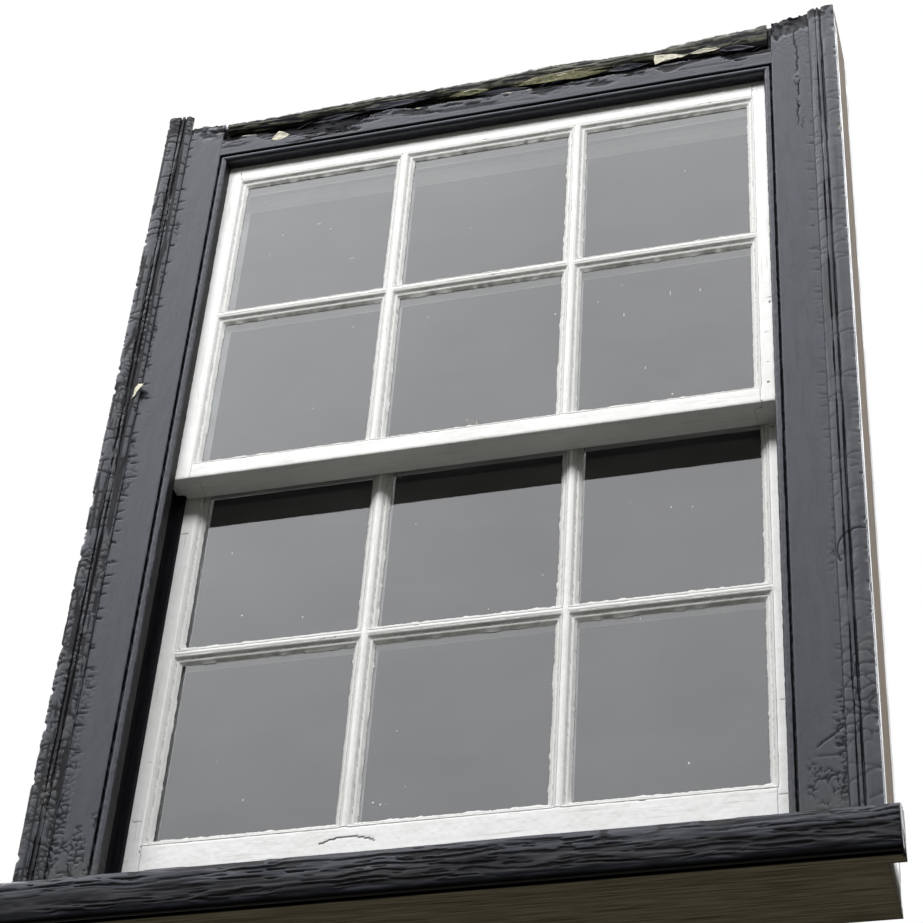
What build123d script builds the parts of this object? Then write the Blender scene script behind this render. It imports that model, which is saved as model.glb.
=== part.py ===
from build123d import *
import os
from math import radians, sqrt, tan

os.makedirs("parts", exist_ok=True)

# A sash window in its boxed frame: two sashes of six panes that slide past each other, each
# hung on two cords that run over pulleys to iron weights inside the jambs.
# X runs along the sill, Y runs into the room and Z runs up. The origin lies under the middle
# of the sill, halfway between the nose of the sill and the back of the inner linings.

# Panes, between the sight lines of their bars
pane_width = 242.0
upper_pane_height = 263.5
lower_pane_height = 269.0
panes_across = 3
panes_up = 2

# Sash joinery
sash_thickness = 37.0
bar_width = 27.0
stile_flat = 31.5
top_rail_height = 51.5
upper_meeting_height = 35.2
lower_meeting_height = 30.0
bottom_rail_height = 90.3
meeting_drop = 16.4
rebate_width = 10.0
rebate_depth = 14.5
ovolo_radius = 7.0
ovolo_quirk = 1.5
tenon_length = 18.0
tenon_thickness = 11.0
tenon_shoulder = 6.0
tenon_fit = 0.1

# Glass and putty
glass_thickness = 3.0
glass_edge_gap = 1.5
putty_setback = 0.8

# Clearances of the sliding sashes
slide_gap = 0.35
side_gap = 1.5
rest_gap = 0.3
lip_top_clearance = 1.0

# Boxed frame
lining_thickness = 20.0
lining_width = 108.0
lining_lap = 13.0
head_height = 113.0
inner_lining_thickness = 20.0
parting_bead_thickness = 8.0
bead_groove_depth = 10.0
bead_groove_fit = 0.1
pulley_stile_thickness = 22.0
head_board_thickness = 22.0
back_lining_thickness = 8.0
staff_bead_round = 7.0
sill_bead_height = 18.0
slip_thickness = 5.0
slip_side_gap = 3.0
slip_foot_gap = 30.0
rot_depth = 11.0
top_rot_height = 27.0
tear_height = 47.0
remnant_end_gap = 6.0
remnant_rise = 8.0
remnant_drop = 4.0
gnawed_height = 13.0
remnant_hollow = 5.0
remnant_bulge = 3.0

# Bead worked on the inner edge of the outer linings
edge_bead_radius = 5.0
edge_quirk_width = 2.5

# Moulding planted on the outer edge of the outer linings
moulding_width = 40.0
ovolo_reed_width = 11.0
ovolo_reed_height = 7.5
small_reed_width = 5.0
small_reed_height = 9.0
moulding_quirk = 2.0
quirk_floor = 4.0
torus_height = 10.0
torus_shoulder = 6.5

# Sill
sill_projection = 40.0
sill_nose_height = 56.0
sill_slope = 9.0
sill_horn = 20.0
nose_top_round = 14.0
nose_bottom_round = 12.0
drip_offset = 18.0
drip_width = 7.0
drip_depth = 5.0

# Pockets through which the weights are reached
pocket_foot = 90.0
pocket_height = 420.0
pocket_margin = 1.2
pocket_gap = 0.3
cover_screw_rise = 17.0

# Pulleys
pulley_drop = 62.0
pulley_pitch_radius = 24.5
pulley_rim = 1.0
pulley_width = 11.0
pulley_web_inner = 9.0
pulley_web_outer = 18.0
pulley_web_recess = 2.5
axle_radius = 4.0
axle_clearance = 0.05
face_plate_width = 26.0
face_plate_height = 120.0
face_plate_thickness = 3.0
case_cheek_thickness = 2.5
case_cheek_gap = 0.5
case_cheek_half_height = 21.0
case_fit = 0.2
case_cheek_tail = 14.5
wheel_mortise_gap = 1.5
wheel_slot_gap = 3.0
case_screw_spacing = 96.0

# Cords
cord_radius = 3.0
cord_clearance = 0.3
cord_inset = 5.0
cord_groove_width = 14.0
cord_groove_depth = 9.5
cord_fixing_drop = 190.0
knot_radius = 4.8
knot_hole_radius = 7.5
knot_hole_depth = 11.5

# Iron weights
weight_diameter = 34.0
upper_weight_length = 553.0
lower_weight_length = 579.0
weight_shoulder = 6.0
weight_eye_drop = 22.0
weight_eye_radius = 6.0
upper_weight_foot = 90.0
lower_weight_hang = 60.0

# Catch on the meeting rails
catch_plate_length = 58.0
catch_plate_width = 22.0
brass_plate = 3.0
catch_post_radius = 4.0
catch_bore_clearance = 0.05
catch_collar_radius = 9.0
catch_head_radius = 6.5
catch_head_height = 2.5
lever_thickness = 4.0
lever_gap = 0.3
lever_reach = 43.0
lever_root_width = 12.0
lever_tip_width = 8.0
lever_tail = 22.0
lever_knob_radius = 6.0
keeper_plate_length = 40.0
keeper_plate_width = 17.0
keeper_block_width = 14.0
keeper_lug_width = 3.0
keeper_lug_height = 4.0
keeper_lug_gap = 0.6

# Sash lifts on the bottom rail
lift_spacing = 400.0
lift_width = 35.0
lift_plate_height = 35.0
lift_plate_thickness = 2.5
lift_rise = 42.0
lift_reach = 16.0
lift_shelf = 7.0
lift_metal = 3.0
lift_screw_spacing = 20.0

# Round-headed screws
screw_radius = 2.0
screw_head_radius = 3.6
screw_head_height = 1.8
screw_length = 16.0

# Depths, from the nose of the sill to the back of the inner linings
channel = sash_thickness + 2 * slide_gap
box_depth = 2 * channel + parting_bead_thickness
sill_depth = sill_projection + lining_thickness + box_depth + inner_lining_thickness
nose_y = -sill_depth / 2
lining_front = nose_y + sill_projection
box_front = lining_front + lining_thickness
parting_front = box_front + channel
parting_back = parting_front + parting_bead_thickness
box_back = box_front + box_depth
frame_back = box_back + inner_lining_thickness
upper_front = box_front + slide_gap
lower_front = parting_back + slide_gap


def sill_top(y):
    """Height of the sloping top of the sill at a depth y."""
    return sill_nose_height + (y - nose_y) * tan(radians(sill_slope))


# Heights
sill_seat = sill_top(box_back)
lower_bottom = sill_top(lower_front) + rest_gap
lower_sight = lower_bottom + bottom_rail_height
lower_glass_top = lower_sight + panes_up * (lower_pane_height + bar_width) - bar_width
lower_top = lower_glass_top + lower_meeting_height
upper_bottom = lower_glass_top - meeting_drop
upper_sight = upper_bottom + upper_meeting_height
upper_glass_top = upper_sight + panes_up * (upper_pane_height + bar_width) - bar_width
upper_top = upper_glass_top + top_rail_height
head_under = upper_top + rest_gap
head_edge = head_under - lining_lap
frame_top = head_edge + head_height
pulley_z = head_under - pulley_drop

# Widths, from the middle outwards
glazed_half = (panes_across * (pane_width + bar_width) - bar_width) / 2
face_half = glazed_half + rebate_width
sash_half = face_half + stile_flat
box_face = sash_half + side_gap
opening_half = box_face - lining_lap
frame_half = opening_half + lining_width
sill_half = frame_half + sill_horn
box_inner = box_face + pulley_stile_thickness
back_lining_face = frame_half - back_lining_thickness
cord_x = sash_half - cord_inset
axle_x = cord_x + pulley_pitch_radius
weight_x = axle_x + pulley_pitch_radius
mitre_reach = 2 * edge_bead_radius + edge_quirk_width

SIDES = (("left", -1), ("right", 1))
far = 2000.0
over = 1.0


def rail_plane(half_length):
    """Plane at the right end of a rail, with heights along its X and depths along its Y."""
    return Plane(origin=(half_length, 0, 0), x_dir=(0, 0, 1), z_dir=(-1, 0, 0))


def front_plane(y):
    """Plane at a depth y that faces the room, with widths along its X and heights along its Y."""
    return Plane(origin=(0, y, 0), x_dir=(1, 0, 0), z_dir=(0, -1, 0))


# Sill: a heavy sloping timber with a rounded nose, horns past the jambs and a drip groove
with BuildPart() as sill:
    with BuildSketch(Plane.YZ.offset(-sill_half)):
        with BuildLine():
            Polyline(
                (nose_y, 0),
                (frame_back, 0),
                (frame_back, sill_seat),
                (box_back, sill_seat),
                (nose_y, sill_nose_height),
                close=True,
            )
        make_face()
    extrude(amount=2 * sill_half)
    nose_edges = sill.edges().filter_by(Axis.X).group_by(Axis.Y)[0].sort_by(Axis.Z)
    fillet(nose_edges[-1], nose_top_round)
    fillet(sill.edges().filter_by(Axis.X).group_by(Axis.Y)[0].sort_by(Axis.Z)[0], nose_bottom_round)
    with BuildSketch(Plane.XY):
        for name, side in SIDES:
            with Locations((side * (frame_half + sill_half) / 2, (lining_front + frame_back) / 2)):
                Rectangle(sill_half - frame_half, frame_back - lining_front)
    extrude(amount=far, mode=Mode.SUBTRACT)
    with BuildSketch(Plane.XY):
        with Locations((0, nose_y + drip_offset)):
            Rectangle(2 * sill_half, drip_width)
    extrude(amount=drip_depth, mode=Mode.SUBTRACT)
sill.part.label = "sill"
export_step(sill.part, "parts/sill.step")


def quirked_board(plane, edge, outer, length):
    """Outer lining board with a quirked bead worked on its inner edge."""
    out = 1 if outer > edge else -1
    bead_end = edge + out * 2 * edge_bead_radius
    quirk_end = bead_end + out * edge_quirk_width
    floor = lining_front + edge_bead_radius
    with BuildPart() as board:
        with BuildSketch(plane):
            with BuildLine():
                ThreePointArc(
                    (edge, floor),
                    (edge + out * edge_bead_radius, lining_front),
                    (bead_end, floor),
                )
                Polyline(
                    (bead_end, floor),
                    (quirk_end, floor),
                    (quirk_end, lining_front),
                    (outer, lining_front),
                    (outer, box_front),
                    (edge, box_front),
                    (edge, floor),
                )
            make_face()
        extrude(amount=length)
    return board.part


# Torn edge of the front of the head lining: places across its half width and heights over it
head_half = opening_half + mitre_reach
torn_edge = [
    (-1.00, 1.08),
    (-0.83, 1.06),
    (-0.72, 0.66),
    (-0.65, 0.70),
    (-0.53, 0.50),
    (-0.42, 1.08),
    (-0.33, 1.17),
    (-0.28, 0.98),
    (-0.12, 1.02),
    (0.08, 1.02),
    (0.24, 0.94),
    (0.43, 1.00),
    (0.51, 0.90),
    (0.59, 1.03),
    (0.71, 1.08),
    (0.81, 1.06),
    (0.88, 0.74),
    (0.94, 0.90),
    (1.00, 0.96),
]

# Rotted top of the linings between the outer mouldings: shares of its width and of its height
rot_half = frame_half - moulding_width
rotted_top = [
    (-1.00, 0.963),
    (-0.96, 0.889),
    (-0.88, 1.000),
    (-0.68, 1.000),
    (-0.52, 0.889),
    (-0.36, 0.815),
    (-0.18, 0.963),
    (-0.01, 0.926),
    (0.10, 0.741),
    (0.18, 0.630),
    (0.38, 0.815),
    (0.51, 0.926),
    (0.67, 0.593),
    (0.78, 0.481),
    (0.87, 0.333),
    (0.94, 0.111),
    (1.00, 0.000),
]


def above_rot(depth_front, depth_back, drop):
    """Everything above the rotted top of the linings, between two depths."""
    with BuildPart() as space:
        with BuildSketch(front_plane(depth_back)):
            with BuildLine():
                Polyline(
                    [(rot_half * x, frame_top - top_rot_height * z - drop) for x, z in rotted_top]
                    + [(rot_half, frame_top + over), (-rot_half, frame_top + over)],
                    close=True,
                )
            make_face()
        extrude(amount=depth_back - depth_front)
    return space.part


# Outer linings of the jambs, mitred where their bead meets the bead of the head lining
for name, side in SIDES:
    with BuildPart() as outer_lining:
        add(quirked_board(Plane.XY, side * opening_half, side * frame_half, frame_top))
        add(sill.part, mode=Mode.SUBTRACT)
        with BuildSketch(front_plane(box_front + over)):
            with BuildLine():
                Polyline(
                    (side * (opening_half - over), head_edge - over),
                    (side * (opening_half + mitre_reach), head_edge + mitre_reach),
                    (side * (opening_half + mitre_reach), frame_top + over),
                    (side * (opening_half - over), frame_top + over),
                    close=True,
                )
            make_face()
        extrude(amount=lining_thickness + 2 * over, mode=Mode.SUBTRACT)
        add(above_rot(lining_front - over, box_front + over, 0), mode=Mode.SUBTRACT)
    outer_lining.part.label = f"outer_lining_{name}"
    export_step(outer_lining.part, f"parts/outer_lining_{name}.step")

# Outer lining of the head, between the jamb linings
with BuildPart() as outer_lining_head:
    add(quirked_board(rail_plane(head_half), head_edge, frame_top, 2 * head_half))
    for name, side in SIDES:
        with BuildSketch(front_plane(box_front + over)):
            with BuildLine():
                Polyline(
                    (side * (opening_half - over), head_edge - over),
                    (side * head_half, head_edge + mitre_reach),
                    (side * (head_half + over), head_edge + mitre_reach),
                    (side * (head_half + over), head_edge - over),
                    close=True,
                )
            make_face()
        extrude(amount=lining_thickness + 2 * over, mode=Mode.SUBTRACT)
    with BuildSketch(front_plane(lining_front + rot_depth)):
        with BuildLine():
            Polyline(
                [(head_half * x, head_edge + tear_height * z) for x, z in torn_edge]
                + [(head_half + over, head_edge + tear_height), (head_half + over, frame_top + over)]
                + [(-head_half - over, frame_top + over), (-head_half - over, head_edge + tear_height)],
                close=True,
            )
        make_face()
    extrude(amount=rot_depth + over, mode=Mode.SUBTRACT)
    add(above_rot(lining_front - over, box_front + over, 0), mode=Mode.SUBTRACT)
outer_lining_head.part.label = "outer_lining_head"
export_step(outer_lining_head.part, "parts/outer_lining_head.step")


def reeded_profile(inner, outward, base):
    """Corners and arcs of the planted moulding: an ovolo, a small reed and a broad torus."""
    small = ovolo_reed_width + moulding_quirk
    torus = small + small_reed_width + moulding_quirk
    torus_middle = (torus + moulding_width) / 2

    def at(distance, height):
        return (inner + outward * distance, base - height)

    arcs = [
        (
            at(0, 0),
            at(ovolo_reed_width * (1 - sqrt(0.5)), ovolo_reed_height * sqrt(0.5)),
            at(ovolo_reed_width, ovolo_reed_height),
        ),
        (
            at(small, (quirk_floor + small_reed_height) / 2),
            at(small + small_reed_width / 2, small_reed_height),
            at(small + small_reed_width, (quirk_floor + small_reed_height) / 2),
        ),
        (at(torus, torus_shoulder), at(torus_middle, torus_height), at(moulding_width, torus_shoulder)),
    ]
    runs = [
        [arcs[0][2], at(ovolo_reed_width, quirk_floor), at(small, quirk_floor), arcs[1][0]],
        [
            arcs[1][2],
            at(small + small_reed_width, quirk_floor),
            at(torus, quirk_floor),
            arcs[2][0],
        ],
        [arcs[2][2], at(moulding_width, 0), arcs[0][0]],
    ]
    return arcs, runs


# Mouldings planted on the outer edges of the jamb linings
for name, side in SIDES:
    moulding_arcs, moulding_runs = reeded_profile(side * (frame_half - moulding_width), side, lining_front)
    with BuildPart() as architrave:
        with BuildSketch(Plane.XY):
            with BuildLine():
                for arc in moulding_arcs:
                    ThreePointArc(*arc)
                for run in moulding_runs:
                    Polyline(*run)
            make_face()
        extrude(amount=frame_top)
        add(sill.part, mode=Mode.SUBTRACT)
    architrave.part.label = f"architrave_{name}"
    export_step(architrave.part, f"parts/architrave_{name}.step")

# What is left of the head moulding: a gnawed strip on the rotted face, its foot in shares of its height
gnawed_edge = [
    (-1.00, 0.154),
    (-0.90, 0.692),
    (-0.78, 0.231),
    (-0.60, 0.846),
    (-0.46, 0.385),
    (-0.30, 0.923),
    (-0.12, 0.308),
    (0.06, 0.769),
    (0.20, 0.231),
    (0.36, 0.923),
    (0.52, 0.462),
    (0.66, 1.000),
    (0.80, 0.154),
    (0.91, 0.615),
    (1.00, 0.231),
]
rotted_face = lining_front + rot_depth
remnant_half = head_half - remnant_end_gap
remnant_foot = head_edge + tear_height + remnant_rise
with BuildPart() as architrave_head:
    with BuildSketch(rail_plane(remnant_half)):
        with BuildLine():
            Polyline(
                (frame_top, rotted_face),
                (remnant_foot, rotted_face),
                (remnant_foot, lining_front + remnant_hollow),
            )
            ThreePointArc(
                (remnant_foot, lining_front + remnant_hollow),
                ((remnant_foot + frame_top) / 2, lining_front - remnant_bulge),
                (frame_top, lining_front),
            )
            Line((frame_top, lining_front), (frame_top, rotted_face))
        make_face()
    extrude(amount=2 * remnant_half)
    with BuildSketch(front_plane(rotted_face + over)):
        with BuildLine():
            Polyline(
                [(remnant_half * x, remnant_foot + gnawed_height * z) for x, z in gnawed_edge]
                + [(remnant_half + over, remnant_foot - over)]
                + [(-remnant_half - over, remnant_foot - over)],
                close=True,
            )
        make_face()
    extrude(amount=rot_depth + remnant_bulge + 2 * over, mode=Mode.SUBTRACT)
    add(
        above_rot(lining_front - remnant_bulge - over, rotted_face + over, remnant_drop),
        mode=Mode.SUBTRACT,
    )
architrave_head.part.label = "architrave_head"
export_step(architrave_head.part, "parts/architrave_head.step")

# Pulley stiles, grooved for the parting bead, with two pulley mortises and a pocket
sash_middles = (("upper", upper_front + sash_thickness / 2), ("lower", lower_front + sash_thickness / 2))
pocket_front = parting_back + pocket_margin
pocket_back = box_back - pocket_margin
pocket_bottom = sill_seat + pocket_foot
case_half_width = pulley_width / 2 + case_cheek_gap + case_cheek_thickness
mortise_half_height = pulley_pitch_radius + cord_radius + wheel_mortise_gap
for name, side in SIDES:
    middle_x = side * (box_face + box_inner) / 2
    with BuildPart() as pulley_stile:
        with BuildSketch(Plane.XY):
            with Locations((middle_x, box_front + box_depth / 2)):
                Rectangle(pulley_stile_thickness, box_depth)
        extrude(amount=head_under)
        add(sill.part, mode=Mode.SUBTRACT)
        with BuildSketch(Plane.XY):
            with Locations((side * (box_face + bead_groove_depth / 2), (parting_front + parting_back) / 2)):
                Rectangle(bead_groove_depth, parting_bead_thickness + 2 * bead_groove_fit)
        extrude(amount=head_under, mode=Mode.SUBTRACT)
        with BuildSketch(Plane.YZ.offset(side * box_face)):
            for sash, middle_y in sash_middles:
                with Locations((middle_y, pulley_z)):
                    Rectangle(2 * (case_half_width + case_fit), 2 * mortise_half_height)
            with Locations(((pocket_front + pocket_back) / 2, pocket_bottom + pocket_height / 2)):
                Rectangle(pocket_back - pocket_front, pocket_height)
        extrude(amount=side * pulley_stile_thickness, mode=Mode.SUBTRACT)
        with BuildSketch(Plane.YZ.offset(side * box_face)):
            for sash, middle_y in sash_middles:
                with Locations((middle_y, pulley_z)):
                    Rectangle(face_plate_width + 2 * case_fit, face_plate_height + 2 * case_fit)
        extrude(amount=side * face_plate_thickness, mode=Mode.SUBTRACT)
        for sash, middle_y in sash_middles:
            for end in (-1, 1):
                with BuildSketch(Plane.YZ.offset(side * box_face)):
                    with Locations((middle_y, pulley_z + end * case_screw_spacing / 2)):
                        Circle(screw_radius)
                extrude(amount=side * screw_length, mode=Mode.SUBTRACT)
    pulley_stile.part.label = f"pulley_stile_{name}"
    export_step(pulley_stile.part, f"parts/pulley_stile_{name}.step")

# Covers of the weight pockets, let into the pulley stiles
with BuildPart() as pocket_covers:
    for name, side in SIDES:
        with BuildSketch(Plane.YZ.offset(side * box_face)):
            with Locations(((pocket_front + pocket_back) / 2, pocket_bottom + pocket_height / 2)):
                Rectangle(pocket_back - pocket_front - 2 * pocket_gap, pocket_height - 2 * pocket_gap)
                with Locations((0, cover_screw_rise - pocket_height / 2)):
                    Circle(screw_radius, mode=Mode.SUBTRACT)
        extrude(amount=side * pulley_stile_thickness)
pocket_covers.part.label = "pocket_covers"
export_step(pocket_covers.part, "parts/pocket_covers.step")

# Head board over both channels, grooved for the parting bead
with BuildPart() as head_board:
    with BuildSketch(Plane.XY.offset(head_under)):
        with Locations((0, box_front + box_depth / 2)):
            Rectangle(2 * back_lining_face, box_depth)
    extrude(amount=head_board_thickness)
    with BuildSketch(Plane.XY.offset(head_under)):
        with Locations((0, (parting_front + parting_back) / 2)):
            Rectangle(2 * opening_half, parting_bead_thickness + 2 * bead_groove_fit)
    extrude(amount=bead_groove_depth, mode=Mode.SUBTRACT)
head_board.part.label = "head_board"
export_step(head_board.part, "parts/head_board.step")

# Inner linings, flush with the faces of the pulley stiles and the head board
for name, side in SIDES:
    with BuildPart() as inner_lining:
        with BuildSketch(Plane.XY):
            with Locations((side * (box_face + frame_half) / 2, box_back + inner_lining_thickness / 2)):
                Rectangle(frame_half - box_face, inner_lining_thickness)
        extrude(amount=frame_top)
        add(sill.part, mode=Mode.SUBTRACT)
    inner_lining.part.label = f"inner_lining_{name}"
    export_step(inner_lining.part, f"parts/inner_lining_{name}.step")
with BuildPart() as inner_lining_head:
    with BuildSketch(Plane.XY.offset(head_under)):
        with Locations((0, box_back + inner_lining_thickness / 2)):
            Rectangle(2 * box_face, inner_lining_thickness)
    extrude(amount=frame_top - head_under)
inner_lining_head.part.label = "inner_lining_head"
export_step(inner_lining_head.part, "parts/inner_lining_head.step")

# Thin back linings that close the boxes towards the wall
with BuildPart() as back_linings:
    for name, side in SIDES:
        with BuildSketch(Plane.XY):
            with Locations((side * (back_lining_face + frame_half) / 2, box_front + box_depth / 2)):
                Rectangle(back_lining_thickness, box_depth)
        extrude(amount=frame_top)
    add(sill.part, mode=Mode.SUBTRACT)
back_linings.part.label = "back_linings"
export_step(back_linings.part, "parts/back_linings.step")

# Parting slips that hang from the head board between the two weights of each box
with BuildPart() as parting_slips:
    slip_foot = sill_seat + slip_foot_gap
    slip_width = back_lining_face - box_inner - 2 * slip_side_gap
    with BuildSketch(Plane.XY.offset(slip_foot)):
        for name, side in SIDES:
            with Locations((side * (box_inner + back_lining_face) / 2, (parting_front + parting_back) / 2)):
                Rectangle(slip_width, slip_thickness)
    extrude(amount=head_under - slip_foot)
parting_slips.part.label = "parting_slips"
export_step(parting_slips.part, "parts/parting_slips.step")

# Parting beads that keep the sashes apart, let into the pulley stiles and the head board
with BuildPart() as parting_beads:
    bead_depth = box_face + bead_groove_depth - bead_groove_fit - opening_half
    with BuildSketch(Plane.XY):
        for name, side in SIDES:
            with Locations((side * (opening_half + bead_depth / 2), (parting_front + parting_back) / 2)):
                Rectangle(bead_depth, parting_bead_thickness)
    extrude(amount=head_under)
    add(sill.part, mode=Mode.SUBTRACT)
parting_beads.part.label = "parting_beads"
export_step(parting_beads.part, "parts/parting_beads.step")
with BuildPart() as parting_bead_head:
    with BuildSketch(Plane.XY.offset(head_edge)):
        with Locations((0, (parting_front + parting_back) / 2)):
            Rectangle(2 * opening_half, parting_bead_thickness)
    extrude(amount=lining_lap + bead_groove_depth - bead_groove_fit)
parting_bead_head.part.label = "parting_bead_head"
export_step(parting_bead_head.part, "parts/parting_bead_head.step")


def rounded_bead(plane, edge, outer, length):
    """Staff bead whose room-side corner is rounded towards the opening."""
    out = 1 if outer > edge else -1
    bulge = staff_bead_round * (1 - sqrt(0.5))
    with BuildPart() as bead:
        with BuildSketch(plane):
            with BuildLine():
                Polyline(
                    (edge, frame_back - staff_bead_round),
                    (edge, box_back),
                    (outer, box_back),
                    (outer, frame_back),
                    (edge + out * staff_bead_round, frame_back),
                )
                ThreePointArc(
                    (edge + out * staff_bead_round, frame_back),
                    (edge + out * bulge, frame_back - bulge),
                    (edge, frame_back - staff_bead_round),
                )
            make_face()
        extrude(amount=length)
    return bead.part


# Staff beads that hold the lower sash in, mitred at the head
for name, side in SIDES:
    with BuildPart() as staff_bead:
        add(rounded_bead(Plane.XY, side * opening_half, side * box_face, head_under))
        add(sill.part, mode=Mode.SUBTRACT)
        with BuildSketch(front_plane(frame_back + over)):
            with BuildLine():
                Polyline(
                    (side * (opening_half - over), head_edge - over),
                    (side * box_face, head_under),
                    (side * (opening_half - over), head_under),
                    close=True,
                )
            make_face()
        extrude(amount=inner_lining_thickness + 2 * over, mode=Mode.SUBTRACT)
    staff_bead.part.label = f"staff_bead_{name}"
    export_step(staff_bead.part, f"parts/staff_bead_{name}.step")
with BuildPart() as staff_bead_head:
    add(rounded_bead(rail_plane(box_face), head_edge, head_under, 2 * box_face))
    for name, side in SIDES:
        with BuildSketch(front_plane(frame_back + over)):
            with BuildLine():
                Polyline(
                    (side * (opening_half - over), head_edge - over),
                    (side * box_face, head_under),
                    (side * (box_face + over), head_edge - over),
                    close=True,
                )
            make_face()
        extrude(amount=inner_lining_thickness + 2 * over, mode=Mode.SUBTRACT)
staff_bead_head.part.label = "staff_bead_head"
export_step(staff_bead_head.part, "parts/staff_bead_head.step")
with BuildPart() as staff_bead_sill:
    add(rounded_bead(rail_plane(opening_half), sill_seat + sill_bead_height, sill_seat, 2 * opening_half))
staff_bead_sill.part.label = "staff_bead_sill"
export_step(staff_bead_sill.part, "parts/staff_bead_sill.step")

# Pulley cases: a face plate flush with the pulley stile, two cheeks and the axle riveted in them
rim_radius = pulley_pitch_radius + pulley_rim
rim_setback = axle_x - box_face - face_plate_thickness
wheel_slot_half = sqrt(rim_radius**2 - rim_setback**2) + wheel_slot_gap
cheek_end = axle_x + case_cheek_tail
with BuildPart() as pulley_cases:
    for name, side in SIDES:
        for sash, middle_y in sash_middles:
            with BuildSketch(Plane.YZ.offset(side * box_face)):
                with Locations((middle_y, pulley_z)):
                    Rectangle(face_plate_width, face_plate_height)
                    Rectangle(pulley_width + 2 * case_cheek_gap, 2 * wheel_slot_half, mode=Mode.SUBTRACT)
                    for end in (-1, 1):
                        with Locations((0, end * case_screw_spacing / 2)):
                            Circle(screw_radius, mode=Mode.SUBTRACT)
            extrude(amount=side * face_plate_thickness)
            with BuildSketch(Plane.XY.offset(pulley_z - case_cheek_half_height)):
                for cheek in (-1, 1):
                    with Locations(
                        (
                            side * (box_face + face_plate_thickness + cheek_end) / 2,
                            middle_y + cheek * (case_half_width - case_cheek_thickness / 2),
                        )
                    ):
                        Rectangle(cheek_end - box_face - face_plate_thickness, case_cheek_thickness)
            extrude(amount=2 * case_cheek_half_height)
            with BuildSketch(front_plane(middle_y + case_half_width)):
                with Locations((side * axle_x, pulley_z)):
                    Circle(axle_radius)
            extrude(amount=2 * case_half_width)
pulley_cases.part.label = "pulley_cases"
export_step(pulley_cases.part, "parts/pulley_cases.step")

# Screws of the pulley cases and the pocket covers
with BuildPart() as frame_screws:
    for name, side in SIDES:
        screw_places = [
            (middle_y, pulley_z + end * case_screw_spacing / 2)
            for sash, middle_y in sash_middles
            for end in (-1, 1)
        ]
        cover_screw = ((pocket_front + pocket_back) / 2, pocket_bottom + cover_screw_rise)
        with BuildSketch(Plane.YZ.offset(side * box_face)):
            with Locations(*screw_places, cover_screw):
                Circle(screw_radius)
        extrude(amount=side * screw_length)
        with BuildSketch(Plane.YZ.offset(side * box_face)):
            with Locations(*screw_places, cover_screw):
                Circle(screw_head_radius)
        extrude(amount=-side * min(screw_head_height, side_gap - slide_gap))
frame_screws.part.label = "frame_screws"
export_step(frame_screws.part, "parts/frame_screws.step")

# Pulley wheels, grooved for the cord and lightened between hub and rim
for name, side in SIDES:
    for sash, middle_y in sash_middles:
        wheel_centre = (side * axle_x, middle_y, pulley_z)
        wheel_axis = Axis(wheel_centre, (0, 1, 0))
        with BuildPart() as pulley_wheel:
            with BuildSketch(Plane(origin=wheel_centre, x_dir=(1, 0, 0), z_dir=(0, 0, 1))):
                with Locations(((rim_radius + axle_radius + axle_clearance) / 2, 0)):
                    Rectangle(rim_radius - axle_radius - axle_clearance, pulley_width)
                with Locations((pulley_pitch_radius, 0)):
                    Circle(cord_radius + cord_clearance, mode=Mode.SUBTRACT)
                for face in (-1, 1):
                    with Locations(((pulley_web_inner + pulley_web_outer) / 2, face * pulley_width / 2)):
                        Rectangle(
                            pulley_web_outer - pulley_web_inner,
                            2 * pulley_web_recess,
                            mode=Mode.SUBTRACT,
                        )
            revolve(axis=wheel_axis)
        pulley_wheel.part.label = f"pulley_wheel_{sash}_{name}"
        export_step(pulley_wheel.part, f"parts/pulley_wheel_{sash}_{name}.step")

# Cords where they bend over the wheels
with BuildPart() as cord_bends:
    for name, side in SIDES:
        for sash, middle_y in sash_middles:
            with BuildSketch(Plane(origin=(side * cord_x, middle_y, pulley_z), z_dir=(0, 0, 1))):
                Circle(cord_radius)
            revolve(
                axis=Axis((side * axle_x, middle_y, pulley_z), (0, side, 0)),
                revolution_arc=180,
            )
cord_bends.part.label = "cord_bends"
export_step(cord_bends.part, "parts/cord_bends.step")

# Cords on the sash side, from the wheels down to the knots in the edges of the stiles
sash_tops = {"upper": upper_top, "lower": lower_top}
for sash, middle_y in sash_middles:
    knot_z = sash_tops[sash] - cord_fixing_drop
    with BuildPart() as sash_cords:
        for name, side in SIDES:
            with BuildSketch(Plane(origin=(side * cord_x, middle_y, knot_z), z_dir=(0, 0, 1))):
                Circle(cord_radius)
            extrude(amount=pulley_z - knot_z)
            with Locations((side * cord_x, middle_y, knot_z)):
                Sphere(knot_radius)
    sash_cords.part.label = f"{sash}_sash_cords"
    export_step(sash_cords.part, f"parts/{sash}_sash_cords.step")

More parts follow.
